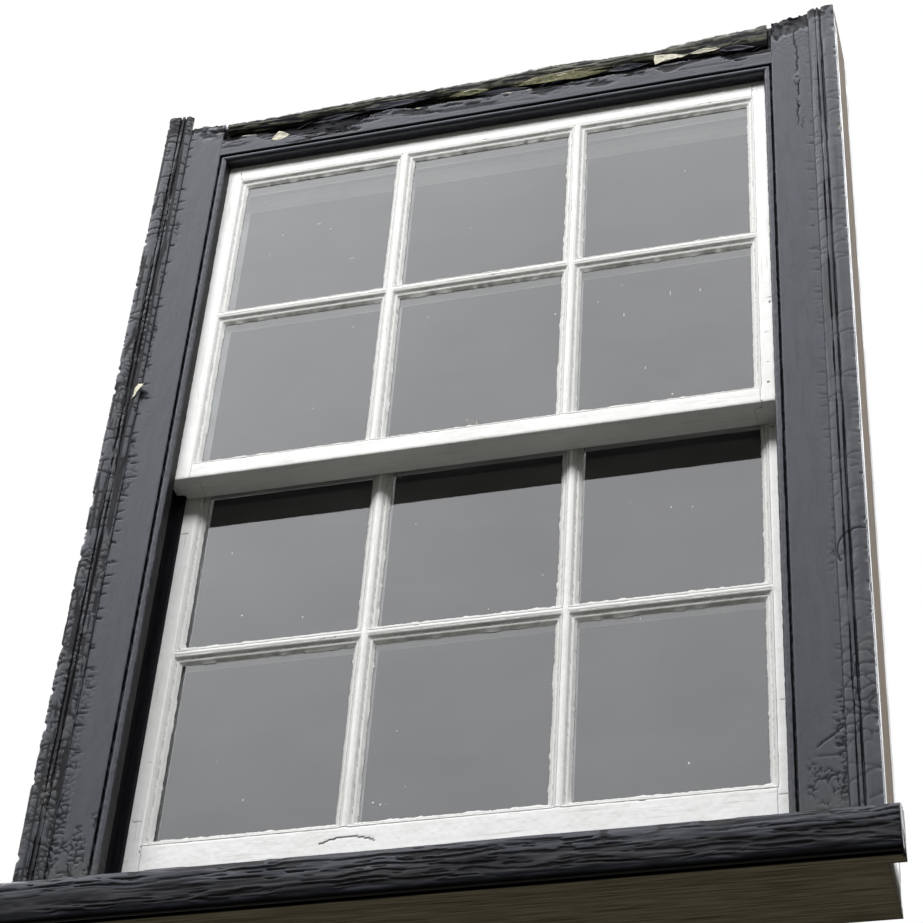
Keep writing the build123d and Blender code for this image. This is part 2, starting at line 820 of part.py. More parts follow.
# Iron weights with an eye for the cord, and the cords that carry them
weight_feet = {
    "upper": upper_weight_foot,
    "lower": pulley_z - lower_weight_hang - lower_weight_length,
}
weight_lengths = {"upper": upper_weight_length, "lower": lower_weight_length}
for name, side in SIDES:
    for sash, middle_y in sash_middles:
        weight_top = weight_feet[sash] + weight_lengths[sash]
        eye_z = weight_top - weight_eye_drop
        with BuildPart() as sash_weight:
            with BuildSketch(Plane(origin=(side * weight_x, middle_y, weight_feet[sash]), z_dir=(0, 0, 1))):
                Circle(weight_diameter / 2)
            extrude(amount=weight_lengths[sash])
            chamfer(sash_weight.edges().filter_by(GeomType.CIRCLE), weight_shoulder)
            with BuildSketch(Plane(origin=(side * weight_x, middle_y, eye_z), z_dir=(0, 0, 1))):
                Circle(cord_radius + cord_clearance)
            extrude(amount=weight_eye_drop, mode=Mode.SUBTRACT)
            with BuildSketch(Plane.YZ.offset(side * weight_x)):
                with Locations((middle_y, eye_z)):
                    Circle(weight_eye_radius)
            extrude(amount=weight_diameter, both=True, mode=Mode.SUBTRACT)
        sash_weight.part.label = f"sash_weight_{sash}_{name}"
        export_step(sash_weight.part, f"parts/sash_weight_{sash}_{name}.step")

        with BuildPart() as weight_cord:
            with BuildSketch(Plane(origin=(side * weight_x, middle_y, eye_z), z_dir=(0, 0, 1))):
                Circle(cord_radius)
            extrude(amount=pulley_z - eye_z)
            with Locations((side * weight_x, middle_y, eye_z)):
                Sphere(knot_radius)
        weight_cord.part.label = f"weight_cord_{sash}_{name}"
        export_step(weight_cord.part, f"parts/weight_cord_{sash}_{name}.step")


def moulded_member(plane, edge, sight, front, length):
    """Stile or rail, rebated outside for the glass and worked with an ovolo inside."""
    inward = 1 if sight > edge else -1
    back = front + sash_thickness
    shoulder = sight - inward * rebate_width
    step = sight - inward * ovolo_quirk
    round_end = step - inward * ovolo_radius
    round_back = back - ovolo_quirk
    bulge = ovolo_radius * (1 - sqrt(0.5))
    with BuildPart() as member:
        with BuildSketch(plane):
            with BuildLine():
                Polyline(
                    (step, round_back - ovolo_radius),
                    (sight, round_back - ovolo_radius),
                    (sight, front + rebate_depth),
                    (shoulder, front + rebate_depth),
                    (shoulder, front),
                    (edge, front),
                    (edge, back),
                    (round_end, back),
                    (round_end, round_back),
                )
                ThreePointArc(
                    (round_end, round_back),
                    (step - inward * bulge, round_back - bulge),
                    (step, round_back - ovolo_radius),
                )
            make_face()
        extrude(amount=length)
    return member.part


def rail_blank(rail_name, edge, sight, front):
    """Moulded rail over the full glazed width; the upper meeting rail has a plain flat top."""
    with BuildPart() as blank:
        add(moulded_member(rail_plane(face_half), edge, sight, front, 2 * face_half))
        if rail_name == "upper_meeting_rail":
            flat = ovolo_radius + ovolo_quirk + over
            with BuildSketch(Plane.YZ.offset(-face_half)):
                with Locations((front + sash_thickness - flat / 2, (edge + sight) / 2)):
                    Rectangle(flat, sight - edge)
            extrude(amount=2 * face_half)
    return blank.part


def glazing_bar(plane, centre, front, length):
    """Glazing bar with a narrow nose outside, rebates for the glass and ovolos inside."""
    half = bar_width / 2
    nose = half - rebate_width
    step = half - ovolo_quirk
    round_end = step - ovolo_radius
    back = front + sash_thickness
    round_back = back - ovolo_quirk
    bulge = ovolo_radius * (1 - sqrt(0.5))
    with BuildPart() as bar:
        with BuildSketch(plane):
            with BuildLine():
                for hand in (-1, 1):
                    Polyline(
                        (centre, front),
                        (centre + hand * nose, front),
                        (centre + hand * nose, front + rebate_depth),
                        (centre + hand * half, front + rebate_depth),
                        (centre + hand * half, round_back - ovolo_radius),
                        (centre + hand * step, round_back - ovolo_radius),
                    )
                    ThreePointArc(
                        (centre + hand * step, round_back - ovolo_radius),
                        (centre + hand * (step - bulge), round_back - bulge),
                        (centre + hand * round_end, round_back),
                    )
                    Polyline(
                        (centre + hand * round_end, round_back),
                        (centre + hand * round_end, back),
                        (centre, back),
                    )
            make_face()
        extrude(amount=length)
    return bar.part


def below_sill_slope(front):
    """Wedge that bevels the foot of a sash parallel to the slope of the sill."""
    near = front - over
    beyond = front + sash_thickness + over
    with BuildPart() as wedge:
        with BuildSketch(Plane.YZ.offset(-sash_half - over)):
            with BuildLine():
                Polyline(
                    (near, 0),
                    (beyond, 0),
                    (beyond, sill_top(beyond) + rest_gap),
                    (near, sill_top(near) + rest_gap),
                    close=True,
                )
            make_face()
        extrude(amount=2 * (sash_half + over))
    return wedge.part


# Each sash: front face, foot, sight lines, top, and which of its rails meets the other sash
sashes = {
    "upper": dict(
        front=upper_front,
        bottom=upper_bottom,
        sight=upper_sight,
        glass_top=upper_glass_top,
        top=upper_top,
        pane_height=upper_pane_height,
        rails=("upper_meeting_rail", "upper_top_rail"),
    ),
    "lower": dict(
        front=lower_front,
        bottom=lower_bottom,
        sight=lower_sight,
        glass_top=lower_glass_top,
        top=lower_top,
        pane_height=lower_pane_height,
        rails=("lower_bottom_rail", "lower_meeting_rail"),
    ),
}

# Splayed lips that close the gap between the meeting rails, shaped so that they only part
lip_half = opening_half - over
lip_bottom_y = lower_front - rest_gap
lip_top_y = upper_front + sash_thickness + lip_top_clearance
lip_splay = (lip_bottom_y - lip_top_y) / upper_meeting_height


def lip_y(z):
    """Depth of the splayed back of the upper lip at a height z."""
    return lip_bottom_y - lip_splay * (z - upper_bottom)


meeting_lips = {
    "upper_meeting_rail": [
        (upper_front + sash_thickness, upper_bottom),
        (lip_bottom_y, upper_bottom),
        (lip_top_y, upper_sight),
        (upper_front + sash_thickness, upper_sight),
    ],
    "lower_meeting_rail": [
        (lower_front, lower_glass_top),
        (lip_y(lower_glass_top) + slide_gap, lower_glass_top),
        (lip_top_y + slide_gap, upper_sight),
        (lip_top_y + slide_gap, lower_top),
        (lower_front, lower_top),
    ],
}

lift_z = lower_bottom + lift_rise
lift_screw_z = lift_z + lift_shelf + lift_metal + (lift_plate_height - lift_shelf - lift_metal) / 2
lift_screws = [
    (side * lift_spacing / 2 + hand * lift_screw_spacing / 2, lift_screw_z)
    for name, side in SIDES
    for hand in (-1, 1)
]
catch_y = lower_front + sash_thickness - catch_plate_width
catch_screws = [(hand * (catch_plate_length / 2 - screw_head_radius - over), catch_y) for hand in (-1, 1)]

for sash, s in sashes.items():
    front = s["front"]
    middle_y = front + sash_thickness / 2
    tenon_y = front + rebate_depth + tenon_thickness / 2 + ovolo_quirk
    rail_ends = ((s["bottom"], s["sight"]), (s["top"], s["glass_top"]))
    stile_foot = Plane.XY.offset(s["bottom"])
    stile_length = s["top"] - s["bottom"]
    stile_blanks = {
        name: moulded_member(stile_foot, side * sash_half, side * glazed_half, front, stile_length)
        for name, side in SIDES
    }

    # Stiles, mortised for the rails and grooved along their edges for the cords
    for name, side in SIDES:
        knot_z = s["top"] - cord_fixing_drop
        with BuildPart() as stile:
            add(stile_blanks[name])
            if sash == "lower":
                add(below_sill_slope(front), mode=Mode.SUBTRACT)
            for edge, sight in rail_ends:
                tenon_height = abs(sight - edge) - 2 * tenon_shoulder
                with BuildSketch(Plane.YZ.offset(side * glazed_half)):
                    with Locations((tenon_y, (edge + sight) / 2)):
                        Rectangle(tenon_thickness + 2 * tenon_fit, tenon_height + 2 * tenon_fit)
                extrude(amount=side * (rebate_width + tenon_length + tenon_fit), mode=Mode.SUBTRACT)
            with BuildSketch(Plane.XY.offset(knot_z)):
                with Locations((side * (sash_half - cord_groove_depth / 2), middle_y)):
                    Rectangle(cord_groove_depth, cord_groove_width)
            extrude(amount=s["top"] - knot_z, mode=Mode.SUBTRACT)
            with BuildSketch(Plane.YZ.offset(side * sash_half)):
                with Locations((middle_y, knot_z)):
                    Circle(knot_hole_radius)
            extrude(amount=-side * knot_hole_depth, mode=Mode.SUBTRACT)
        stile.part.label = f"{sash}_stile_{name}"
        export_step(stile.part, f"parts/{sash}_stile_{name}.step")

    # Rails, scribed over the stiles and tenoned into them
    rail_blanks = []
    for rail_name, (edge, sight) in zip(s["rails"], rail_ends):
        with BuildPart() as rail:
            add(rail_blank(rail_name, edge, sight, front))
            for name, side in SIDES:
                add(stile_blanks[name], mode=Mode.SUBTRACT)
            if rail_name == "lower_bottom_rail":
                add(below_sill_slope(front), mode=Mode.SUBTRACT)
            if rail_name in meeting_lips:
                with BuildSketch(Plane.YZ.offset(-lip_half)):
                    with BuildLine():
                        Polyline(*meeting_lips[rail_name], close=True)
                    make_face()
                extrude(amount=2 * lip_half)
            tenon_height = abs(sight - edge) - 2 * tenon_shoulder
            for name, side in SIDES:
                with BuildSketch(Plane.YZ.offset(side * (glazed_half - over))):
                    with Locations((tenon_y, (edge + sight) / 2)):
                        Rectangle(tenon_thickness, tenon_height)
                extrude(amount=side * (over + rebate_width + tenon_length))
            if rail_name == "lower_bottom_rail":
                with BuildSketch(front_plane(front + sash_thickness)):
                    with Locations(*lift_screws):
                        Circle(screw_radius)
                extrude(amount=screw_length - lift_plate_thickness, mode=Mode.SUBTRACT)
            if rail_name == "lower_meeting_rail":
                with BuildSketch(Plane.XY.offset(lower_top)):
                    with Locations(*catch_screws):
                        Circle(screw_radius)
                extrude(amount=brass_plate - screw_length, mode=Mode.SUBTRACT)
        rail_blanks.append(rail_blank(rail_name, edge, sight, front))
        rail.part.label = rail_name
        export_step(rail.part, f"parts/{rail_name}.step")

    # Upright glazing bars, scribed over the rails
    bar_centres = [
        (i - (panes_across - 2) / 2) * (pane_width + bar_width) for i in range(panes_across - 1)
    ]
    glazed_height = s["glass_top"] - s["sight"]
    upright_plane = Plane.XY.offset(s["sight"] - rebate_width)
    with BuildPart() as bars_upright:
        for bar_x in bar_centres:
            add(glazing_bar(upright_plane, bar_x, front, glazed_height + 2 * rebate_width))
        for blank in rail_blanks:
            add(blank, mode=Mode.SUBTRACT)
    bars_upright.part.label = f"{sash}_bars_upright"
    export_step(bars_upright.part, f"parts/{sash}_bars_upright.step")

    # Cross bars, cut between the uprights
    cross_heights = [
        s["sight"] + (i + 1) * s["pane_height"] + (i + 0.5) * bar_width for i in range(panes_up - 1)
    ]
    with BuildPart() as bars_cross:
        for bar_z in cross_heights:
            add(glazing_bar(rail_plane(face_half), bar_z, front, 2 * face_half))
        for name, side in SIDES:
            add(stile_blanks[name], mode=Mode.SUBTRACT)
        for bar_x in bar_centres:
            add(
                glazing_bar(upright_plane, bar_x, front, glazed_height + 2 * rebate_width),
                mode=Mode.SUBTRACT,
            )
    bars_cross.part.label = f"{sash}_bars_cross"
    export_step(bars_cross.part, f"parts/{sash}_bars_cross.step")

    # Panes of glass in their rebates
    pane_centres = [
        (
            (i - (panes_across - 1) / 2) * (pane_width + bar_width),
            s["sight"] + s["pane_height"] / 2 + j * (s["pane_height"] + bar_width),
        )
        for i in range(panes_across)
        for j in range(panes_up)
    ]
    rebate_floor = front + rebate_depth
    pane_lap = 2 * (rebate_width - glass_edge_gap)
    with BuildPart() as glass:
        with BuildSketch(front_plane(rebate_floor)):
            with Locations(*pane_centres):
                Rectangle(pane_width + pane_lap, s["pane_height"] + pane_lap)
        extrude(amount=glass_thickness)
    glass.part.label = f"{sash}_glass"
    export_step(glass.part, f"parts/{sash}_glass.step")

    # Putty, sloped from the faces of the bars to the sight lines on the glass
    putty_depth = rebate_depth - glass_thickness - putty_setback
    putty_front = front + putty_setback
    with BuildPart() as putty:
        with BuildSketch(front_plane(rebate_floor - glass_thickness)):
            with Locations(*pane_centres):
                Rectangle(pane_width + 2 * rebate_width, s["pane_height"] + 2 * rebate_width)
        extrude(amount=putty_depth)
        for pane_x, pane_z in pane_centres:
            with BuildSketch(front_plane(rebate_floor - glass_thickness)):
                with Locations((pane_x, pane_z)):
                    Rectangle(pane_width, s["pane_height"])
            with BuildSketch(front_plane(putty_front)):
                with Locations((pane_x, pane_z)):
                    Rectangle(pane_width + 2 * rebate_width, s["pane_height"] + 2 * rebate_width)
            loft(mode=Mode.SUBTRACT)
    putty.part.label = f"{sash}_putty"
    export_step(putty.part, f"parts/{sash}_putty.step")

# Catch base on the lower meeting rail, with the post that the lever turns on
lever_z = lower_top + brass_plate + lever_gap
with BuildPart() as catch_base:
    with BuildSketch(Plane.XY.offset(lower_top)):
        with Locations((0, catch_y)):
            RectangleRounded(catch_plate_length, catch_plate_width, catch_plate_width / 3)
        with Locations(*catch_screws):
            Circle(screw_radius, mode=Mode.SUBTRACT)
    extrude(amount=brass_plate)
    with BuildSketch(Plane.XY.offset(lower_top + brass_plate)):
        with Locations(*catch_screws):
            Circle(screw_head_radius)
    extrude(amount=-screw_head_height, mode=Mode.SUBTRACT)
    with BuildSketch(Plane.XY.offset(lower_top)):
        with Locations((0, catch_y)):
            Circle(catch_post_radius)
    extrude(amount=brass_plate + 2 * lever_gap + lever_thickness)
    with BuildSketch(Plane.XY.offset(lever_z + lever_thickness + lever_gap)):
        with Locations((0, catch_y)):
            Circle(catch_head_radius)
    extrude(amount=catch_head_height)
    fillet(catch_base.edges().group_by(Axis.Z)[-1], catch_head_height * 0.6)
catch_base.part.label = "catch_base"
export_step(catch_base.part, "parts/catch_base.step")

# Catch lever, lying open along the rail, with a knob on its tail
with BuildPart() as catch_lever:
    with BuildSketch(Plane.XY.offset(lever_z)):
        with Locations((0, catch_y)):
            Circle(catch_collar_radius)
        with BuildLine():
            Polyline(
                (0, catch_y - lever_root_width / 2),
                (lever_reach, catch_y - lever_tip_width / 2),
                (lever_reach, catch_y + lever_tip_width / 2),
                (0, catch_y + lever_root_width / 2),
                (-lever_tail, catch_y + lever_tip_width / 2),
                (-lever_tail, catch_y - lever_tip_width / 2),
                close=True,
            )
        make_face()
        with Locations((0, catch_y)):
            Circle(catch_post_radius + catch_bore_clearance, mode=Mode.SUBTRACT)
    extrude(amount=lever_thickness)
    with Locations((-lever_tail, catch_y, lever_z + lever_thickness + lever_knob_radius / 2)):
        Sphere(lever_knob_radius)
catch_lever.part.label = "catch_lever"
export_step(catch_lever.part, "parts/catch_lever.step")

# Keeper on the upper meeting rail, just under the sweep of the lever
keeper_back = catch_y - lever_reach + keeper_block_width
keeper_front = keeper_back - keeper_plate_width
keeper_top = lever_z - lever_gap
keeper_middle = (keeper_front + keeper_back) / 2
with BuildPart() as catch_keeper:
    with BuildSketch(Plane.XY.offset(upper_sight)):
        with Locations((0, keeper_middle)):
            RectangleRounded(keeper_plate_length, keeper_plate_width, keeper_plate_width / 4)
    extrude(amount=brass_plate)
    with BuildSketch(Plane.XY.offset(upper_sight)):
        with Locations((0, keeper_middle)):
            Rectangle(keeper_block_width, keeper_block_width)
    extrude(amount=keeper_top - upper_sight)
    with BuildSketch(Plane.XY.offset(upper_sight)):
        with Locations((-lever_tip_width / 2 - keeper_lug_gap - keeper_lug_width, keeper_middle)):
            Rectangle(keeper_lug_width, keeper_block_width)
    extrude(amount=keeper_top - upper_sight + lever_gap + keeper_lug_height)
catch_keeper.part.label = "catch_keeper"
export_step(catch_keeper.part, "parts/catch_keeper.step")

# Sash lifts: plates on the bottom rail with a shelf and a lip that fingers hook under
lift_face = lower_front + sash_thickness
with BuildPart() as sash_lifts:
    for name, side in SIDES:
        with BuildSketch(Plane.YZ.offset(side * lift_spacing / 2 - lift_width / 2)):
            with BuildLine():
                Polyline(
                    (lift_face, lift_z),
                    (lift_face + lift_plate_thickness, lift_z),
                    (lift_face + lift_plate_thickness, lift_z + lift_shelf),
                    (lift_face + lift_reach - lift_metal, lift_z + lift_shelf),
                    (lift_face + lift_reach - lift_metal, lift_z),
                    (lift_face + lift_reach, lift_z),
                    (lift_face + lift_reach, lift_z + lift_shelf + lift_metal),
                    (lift_face + lift_plate_thickness, lift_z + lift_shelf + lift_metal),
                    (lift_face + lift_plate_thickness, lift_z + lift_plate_height),
                    (lift_face, lift_z + lift_plate_height),
                    close=True,
                )
            make_face()
        extrude(amount=lift_width)
    with BuildSketch(front_plane(lift_face + lift_plate_thickness)):
        with Locations(*lift_screws):
            Circle(screw_radius)
    extrude(amount=lift_plate_thickness, mode=Mode.SUBTRACT)
sash_lifts.part.label = "sash_lifts"
export_step(sash_lifts.part, "parts/sash_lifts.step")

# Screws of the catch and the lifts
with BuildPart() as sash_screws:
    lift_screw_face = front_plane(lift_face + lift_plate_thickness)
    with BuildSketch(lift_screw_face):
        with Locations(*lift_screws):
            Circle(screw_radius)
    extrude(amount=screw_length)
    with BuildSketch(lift_screw_face):
        with Locations(*lift_screws):
            Circle(screw_head_radius)
    extrude(amount=-screw_head_height)
    with BuildSketch(Plane.XY.offset(lower_top + brass_plate)):
        with Locations(*catch_screws):
            Circle(screw_radius)
    extrude(amount=-screw_length)
    with BuildSketch(Plane.XY.offset(lower_top + brass_plate)):
        with Locations(*catch_screws):
            Circle(screw_head_radius)
    extrude(amount=-screw_head_height)
sash_screws.part.label = "sash_screws"
export_step(sash_screws.part, "parts/sash_screws.step")
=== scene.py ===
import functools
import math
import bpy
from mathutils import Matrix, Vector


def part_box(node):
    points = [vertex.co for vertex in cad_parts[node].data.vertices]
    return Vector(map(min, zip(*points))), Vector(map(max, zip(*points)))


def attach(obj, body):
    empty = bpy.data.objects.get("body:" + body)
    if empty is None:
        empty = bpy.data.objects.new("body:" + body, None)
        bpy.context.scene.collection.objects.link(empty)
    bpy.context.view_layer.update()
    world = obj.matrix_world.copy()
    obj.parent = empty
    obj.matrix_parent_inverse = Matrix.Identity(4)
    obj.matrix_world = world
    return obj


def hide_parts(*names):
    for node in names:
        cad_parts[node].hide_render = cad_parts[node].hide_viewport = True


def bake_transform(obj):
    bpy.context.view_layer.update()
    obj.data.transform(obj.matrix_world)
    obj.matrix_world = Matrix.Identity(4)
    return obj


bl_info = {
    "name": "Sash Window",
    "version": (1, 0, 0),
    "blender": (4, 5, 0),
    "location": "3D View > Sidebar > Sash Window",
    "description": "Dresses the fixed frame of a weathered box sash window",
    "category": "Object",
}

import bmesh
import bpy
import numpy as np
from bpy.props import FloatProperty, FloatVectorProperty, IntProperty, PointerProperty, StringProperty
from mathutils import Matrix, Vector

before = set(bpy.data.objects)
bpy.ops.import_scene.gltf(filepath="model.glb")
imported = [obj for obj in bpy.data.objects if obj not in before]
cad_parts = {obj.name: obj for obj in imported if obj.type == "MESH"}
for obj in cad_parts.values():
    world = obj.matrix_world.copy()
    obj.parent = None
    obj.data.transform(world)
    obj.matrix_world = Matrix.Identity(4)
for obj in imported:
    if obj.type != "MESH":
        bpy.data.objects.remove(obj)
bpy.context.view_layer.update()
MM = 0.001
SIDES = (("left", -1), ("right", 1))
SASHES = ("upper", "lower")
SQUARE = ((-1, -1), (1, -1), (1, 1), (-1, 1))


# Places read from the fixed frame, in metres

def low(node):
    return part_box(node)[0]


def high(node):
    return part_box(node)[1]


LINING_FRONT = low("outer_lining_left").y
LINING_BACK = high("outer_lining_left").y
OPENING_HALF = low("outer_lining_right").x
FRAME_HALF = high("outer_lining_right").x
MOULDING_INNER = low("architrave_right").x
HEAD_EDGE = low("outer_lining_head").z
HEAD_HALF = high("outer_lining_head").x
FRAME_TOP = high("inner_lining_left").z
FRAME_BACK = high("inner_lining_left").y
SILL_HALF = high("sill").x
SILL_NOSE = low("sill").y
BOX_BACK = low("inner_lining_left").y
BEAD_WIDTH = HEAD_HALF - OPENING_HALF
BEAD_RADIUS = 5 * MM
SILL_SLOPE = math.radians(9)
NOSE_HEIGHT = 56 * MM

# Single marks, where the photo shows them: x and z in metres

LEFT_CORNER = (-0.452, 0.12)  # crazed patch at the foot of the left jamb
RIGHT_SEAM = 0.468  # x of the long crack high on the right jamb
RIGHT_TEAR = (0.455, 0.1575)  # lower end of the tear at the foot of the right jamb
RIGHT_TEAR_SLOPE = 0.82
CURVED_CRACK = (0.520, 0.432)  # centre of the curved crack on the right moulding
CURVED_CRACK_RADIUS = 30 * MM
SILL_LENS = (0.250, 8 * MM)  # smoother lens on the nose: x, and the way down from its upper edge
HAIRLINE_BOW = (-0.129, 0.139)  # top of the bowed hairline on the bottom rail
HAIRLINE_HALF = 36 * MM
NAIL_MARKS = ((0.4096, 0.7455, 2.6 * MM), (0.4145, 0.8901, 2.2 * MM))  # with their radius

# Colours that no setting changes, as sRGB hex values

SHADES = {
    # The reveal's two near-black shades, 0D0D10 and 1B1B1E, are painted shadow, not the colour of its paint.
    "paint_grain": "191A1E", "grey_wood": "6E695C", "algae": "46452F", "painted_reveal_shade": "0D0D10",
    "painted_reveal_shade_grey": "1B1B1E", "white_grime": "D3D2CC", "white_spot": "77756A", "white_chip": "6F6A60",
    "white_crack": "3B3A35", "putty": "DEDEDC", "pine_early": "94805F", "pine_late": "6C563D",
    "pine_fibre": "4F3F2D", "pine_stain": "4A4133", "rust": "6A3E26", "tarnish": "5E4724",
    "steel_stain": "6B5644", "cord_dust": "8F8770", "cord_gap": "6C6350", "glass_film": "8F9290",
    "cream": "E0DCCB", "cream_worn": "B5B09C", "olive": "53533A", "olive_worn": "84826A",
    "fill_low": "24231A", "fill_high": "A2A5AB", "fill_under": "6A665C", "mirrored_ground": "1A1914",
    "mirrored_sky": "F8F9FC", "floor_bounce": "35332A", "white": "FFFFFF",
}


def hex_colour(name, what, default):
    """Property for a colour, as text with an sRGB hex value."""
    description = f"Colour of {what}, as an sRGB hex value"
    return StringProperty(name=name, description=description, default=default)


def metres(name, description, default, **limits):
    """Property for a length in metres."""
    return FloatProperty(name=name, description=description, default=default, unit="LENGTH", **limits)


class FramePaintSettings(bpy.types.PropertyGroup):
    face_colour: hex_colour("Face", "the dark gloss paint", "25272F")
    chalk_colour: hex_colour("Chalked", "the dark paint where it has chalked", "3A3C44")
    # This colour is also the painted shade in the quirks, on the bead's inner side, in the head's recess, at
    # the remnant's foot and on the sill's nose
    crack_and_shade_colour: hex_colour("Cracks", "the inside of the cracks", "0E0E11")
    bare_colour: hex_colour("Bare wood", "weathered bare wood", "B4AE9C")
    block_size: metres("Crazing blocks", "Size of the blocks of crazed paint", 8.5 * MM, min=0)
    crack_depth: metres("Crack depth", "Depth of the cracks in the paint", 1.1 * MM, min=0)
    cell: metres("Mesh step", "Step between the rings of a painted board", 1.9 * MM, min=0.5 * MM)


class HeadSettings(bpy.types.PropertyGroup):
    seat_height: metres(
        "Intact height", "Height of the intact face over the bead's lower edge", 47 * MM
    )
    rot_depth: metres("Rot depth", "Depth of the rotted recess above the torn edge", 11 * MM)
    splinters: IntProperty(
        name="Splinters", description="Number of splinters in the rotted recess", default=90, min=0
    )


class SillSettings(bpy.types.PropertyGroup):
    grain_depth: metres("Grain depth", "Depth of the weathered grain", 2.0 * MM)
    grain_spacing: metres("Grain spacing", "Spacing of the weathered grain", 3.6 * MM)


class SashPaintSettings(bpy.types.PropertyGroup):
    colour: hex_colour("White", "the white paint", "EFEFEE")
    dirt_colour: hex_colour("Dirt", "the dirt on the white paint", "9C9A8C")
    step: metres("Paint step", "Step of the mesh that rounds the painted edges", 2.0 * MM, min=1 * MM)
    lumps: metres("Lumps", "Height of the lumps in the paint", 0.7 * MM)


class GlassSettings(bpy.types.PropertyGroup):
    colour: hex_colour("Glass", "the grimy glass", "A6A9A8")
    specks: IntProperty(
        name="Specks", description="Number of paint specks on each sash's panes", default=16, min=0
    )
    seed: IntProperty(name="Seed", description="Seed of the specks", default=4, min=0)


class MetalSettings(bpy.types.PropertyGroup):
    brass_colour: hex_colour("Brass", "the brass", "B08D48")
    iron_colour: hex_colour("Iron", "the cast iron", "4A4643")
    steel_colour: hex_colour("Steel", "the screws", "8E8C88")


class CordSettings(bpy.types.PropertyGroup):
    colour: hex_colour("Cord", "the waxed cotton cord", "CDC3A6")
    radius: metres("Radius", "Radius of the sash cords", 3.0 * MM)


class StageSettings(bpy.types.PropertyGroup):
    camera_place: FloatVectorProperty(
        name="Camera", description="Place of the camera", default=(0.7502, -2.3018, -1.3258),
        subtype="TRANSLATION", unit="LENGTH",
    )
    camera_axis: FloatVectorProperty(
        name="View axis", description="Direction that the camera looks in",
        default=(-0.2413, 0.7293, 0.6403), subtype="DIRECTION",
    )
    lens: FloatProperty(name="Lens", description="Focal length in millimetres", default=91.3)
    key_power: FloatProperty(
        name="Key light", description="Power of the large soft lamp", default=330, unit="POWER"
    )
    room_power: FloatProperty(
        name="Room light", description="Power of the soft lamp on the room side", default=90, unit="POWER"
    )
    key_elevation: FloatProperty(
        name="Key elevation", description="Height of the soft lamp over the horizon",
        default=math.radians(41), subtype="ANGLE", unit="ROTATION",
    )
    sky_shine: FloatProperty(
        name="Sky shine", description="Strength of the bright sky that the gloss and the glass mirror",
        default=4.0, min=0,
    )
    floor_colour: hex_colour("Floor", "the floor", "E6E5E1")
    room_colour: hex_colour("Room", "the dim room behind the glass", "101011")


GROUPS = {
    "window_frame_paint": FramePaintSettings,
    "window_head": HeadSettings,
    "window_sill": SillSettings,
    "window_sash_paint": SashPaintSettings,
    "window_glass": GlassSettings,
    "window_metal": MetalSettings,
    "window_cord": CordSettings,
    "window_stage": StageSettings,
}


# Repeatable noise, on arrays of points

def lattice(a, b, c, seed):
    """A repeatable number from 0 to 1 for each whole-numbered cell."""
    h = a.astype(np.uint64) * np.uint64(374761393) + b.astype(np.uint64) * np.uint64(668265263)
    h += c.astype(np.uint64) * np.uint64(2246822519) + np.uint64(seed * 3266489917 % 2**32)
    h &= np.uint64(0xFFFFFFFF)
    h ^= h >> np.uint64(15)
    h = h * np.uint64(2246822519) & np.uint64(0xFFFFFFFF)
    h ^= h >> np.uint64(13)
    h = h * np.uint64(3266489917) & np.uint64(0xFFFFFFFF)
    h ^= h >> np.uint64(16)
    return h.astype(np.float64) / 4294967295.0


def noise(x, y, z, seed):
    """Smooth noise from -1 to 1 on coordinates counted in features."""
    x, y, z = np.broadcast_arrays(x, y, z)
    ix, iy, iz = np.floor(x), np.floor(y), np.floor(z)
    fx, fy, fz = x - ix, y - iy, z - iz
    fx, fy, fz = (f * f * (3 - 2 * f) for f in (fx, fy, fz))
    ix, iy, iz = (i.astype(np.int64) for i in (ix, iy, iz))
    total = 0
    for dx, wx in ((0, 1 - fx), (1, fx)):
        for dy, wy in ((0, 1 - fy), (1, fy)):
            for dz, wz in ((0, 1 - fz), (1, fz)):
                total = total + wx * wy * wz * lattice(ix + dx, iy + dy, iz + dz, seed)
    return total * 2 - 1


def rough(x, y, z, seed, octaves=3):
    """Several octaves of noise, from about -1 to 1."""
    total, size = 0, 0
    for i in range(octaves):
        total = total + noise(x * 2**i, y * 2**i, z * 2**i, seed + 17 * i) / 2**i
        size += 0.5**i
    return total / size


def cells(u, v, seed):
    """Distance to the border between random cells of unit size, and a number for each cell."""
    iu, iv = np.floor(u).astype(np.int64), np.floor(v).astype(np.int64)
    first, second, own = np.full(u.shape, 9.0), np.full(u.shape, 9.0), np.zeros(u.shape)
    for du in (-1, 0, 1):
        for dv in (-1, 0, 1):
            cu, cv = iu + du, iv + dv
            near_u = cu + lattice(cu, cv, cu * 0, seed)
            near_v = cv + lattice(cu, cv, cu * 0 + 1, seed)
            far = np.hypot(near_u - u, near_v - v)
            closer = far < first
            second = np.where(closer, first, np.minimum(second, far))
            own = np.where(closer, lattice(cu, cv, cu * 0 + 2, seed), own)
            first = np.minimum(first, far)
    return second - first, own


def step(edge0, edge1, x):
    """Smooth step from 0 at edge0 to 1 at edge1."""
    t = np.clip((x - edge0) / (edge1 - edge0), 0, 1)
    return t * t * (3 - 2 * t)


def largest(*values):
    """The largest of several values at each point."""
    return functools.reduce(np.maximum, values)


# Meshes

def linked(name, data):
    """A new object in the scene, at the origin."""
    made = bpy.data.objects.new(name, data)
    bpy.context.scene.collection.objects.link(made)
    return made


def make_object(name, vertices, faces, material):
    """A smooth mesh object at the origin, with its faces turned outwards."""
    mesh = bpy.data.meshes.new(name)
    mesh.from_pydata(np.asarray(vertices, float).tolist(), [], faces)
    work = bmesh.new()
    work.from_mesh(mesh)
    bmesh.ops.recalc_face_normals(work, faces=work.faces)
    work.to_mesh(mesh)
    work.free()
    mesh.validate()
    mesh.polygons.foreach_set("use_smooth", np.ones(len(mesh.polygons), bool))
    mesh.materials.append(material)
    return linked(name, mesh)


def points_of(mesh):
    """Places of all vertices, one row each."""
    out = np.zeros(len(mesh.vertices) * 3, np.float32)
    mesh.vertices.foreach_get("co", out)
    return out.reshape(-1, 3).astype(float)


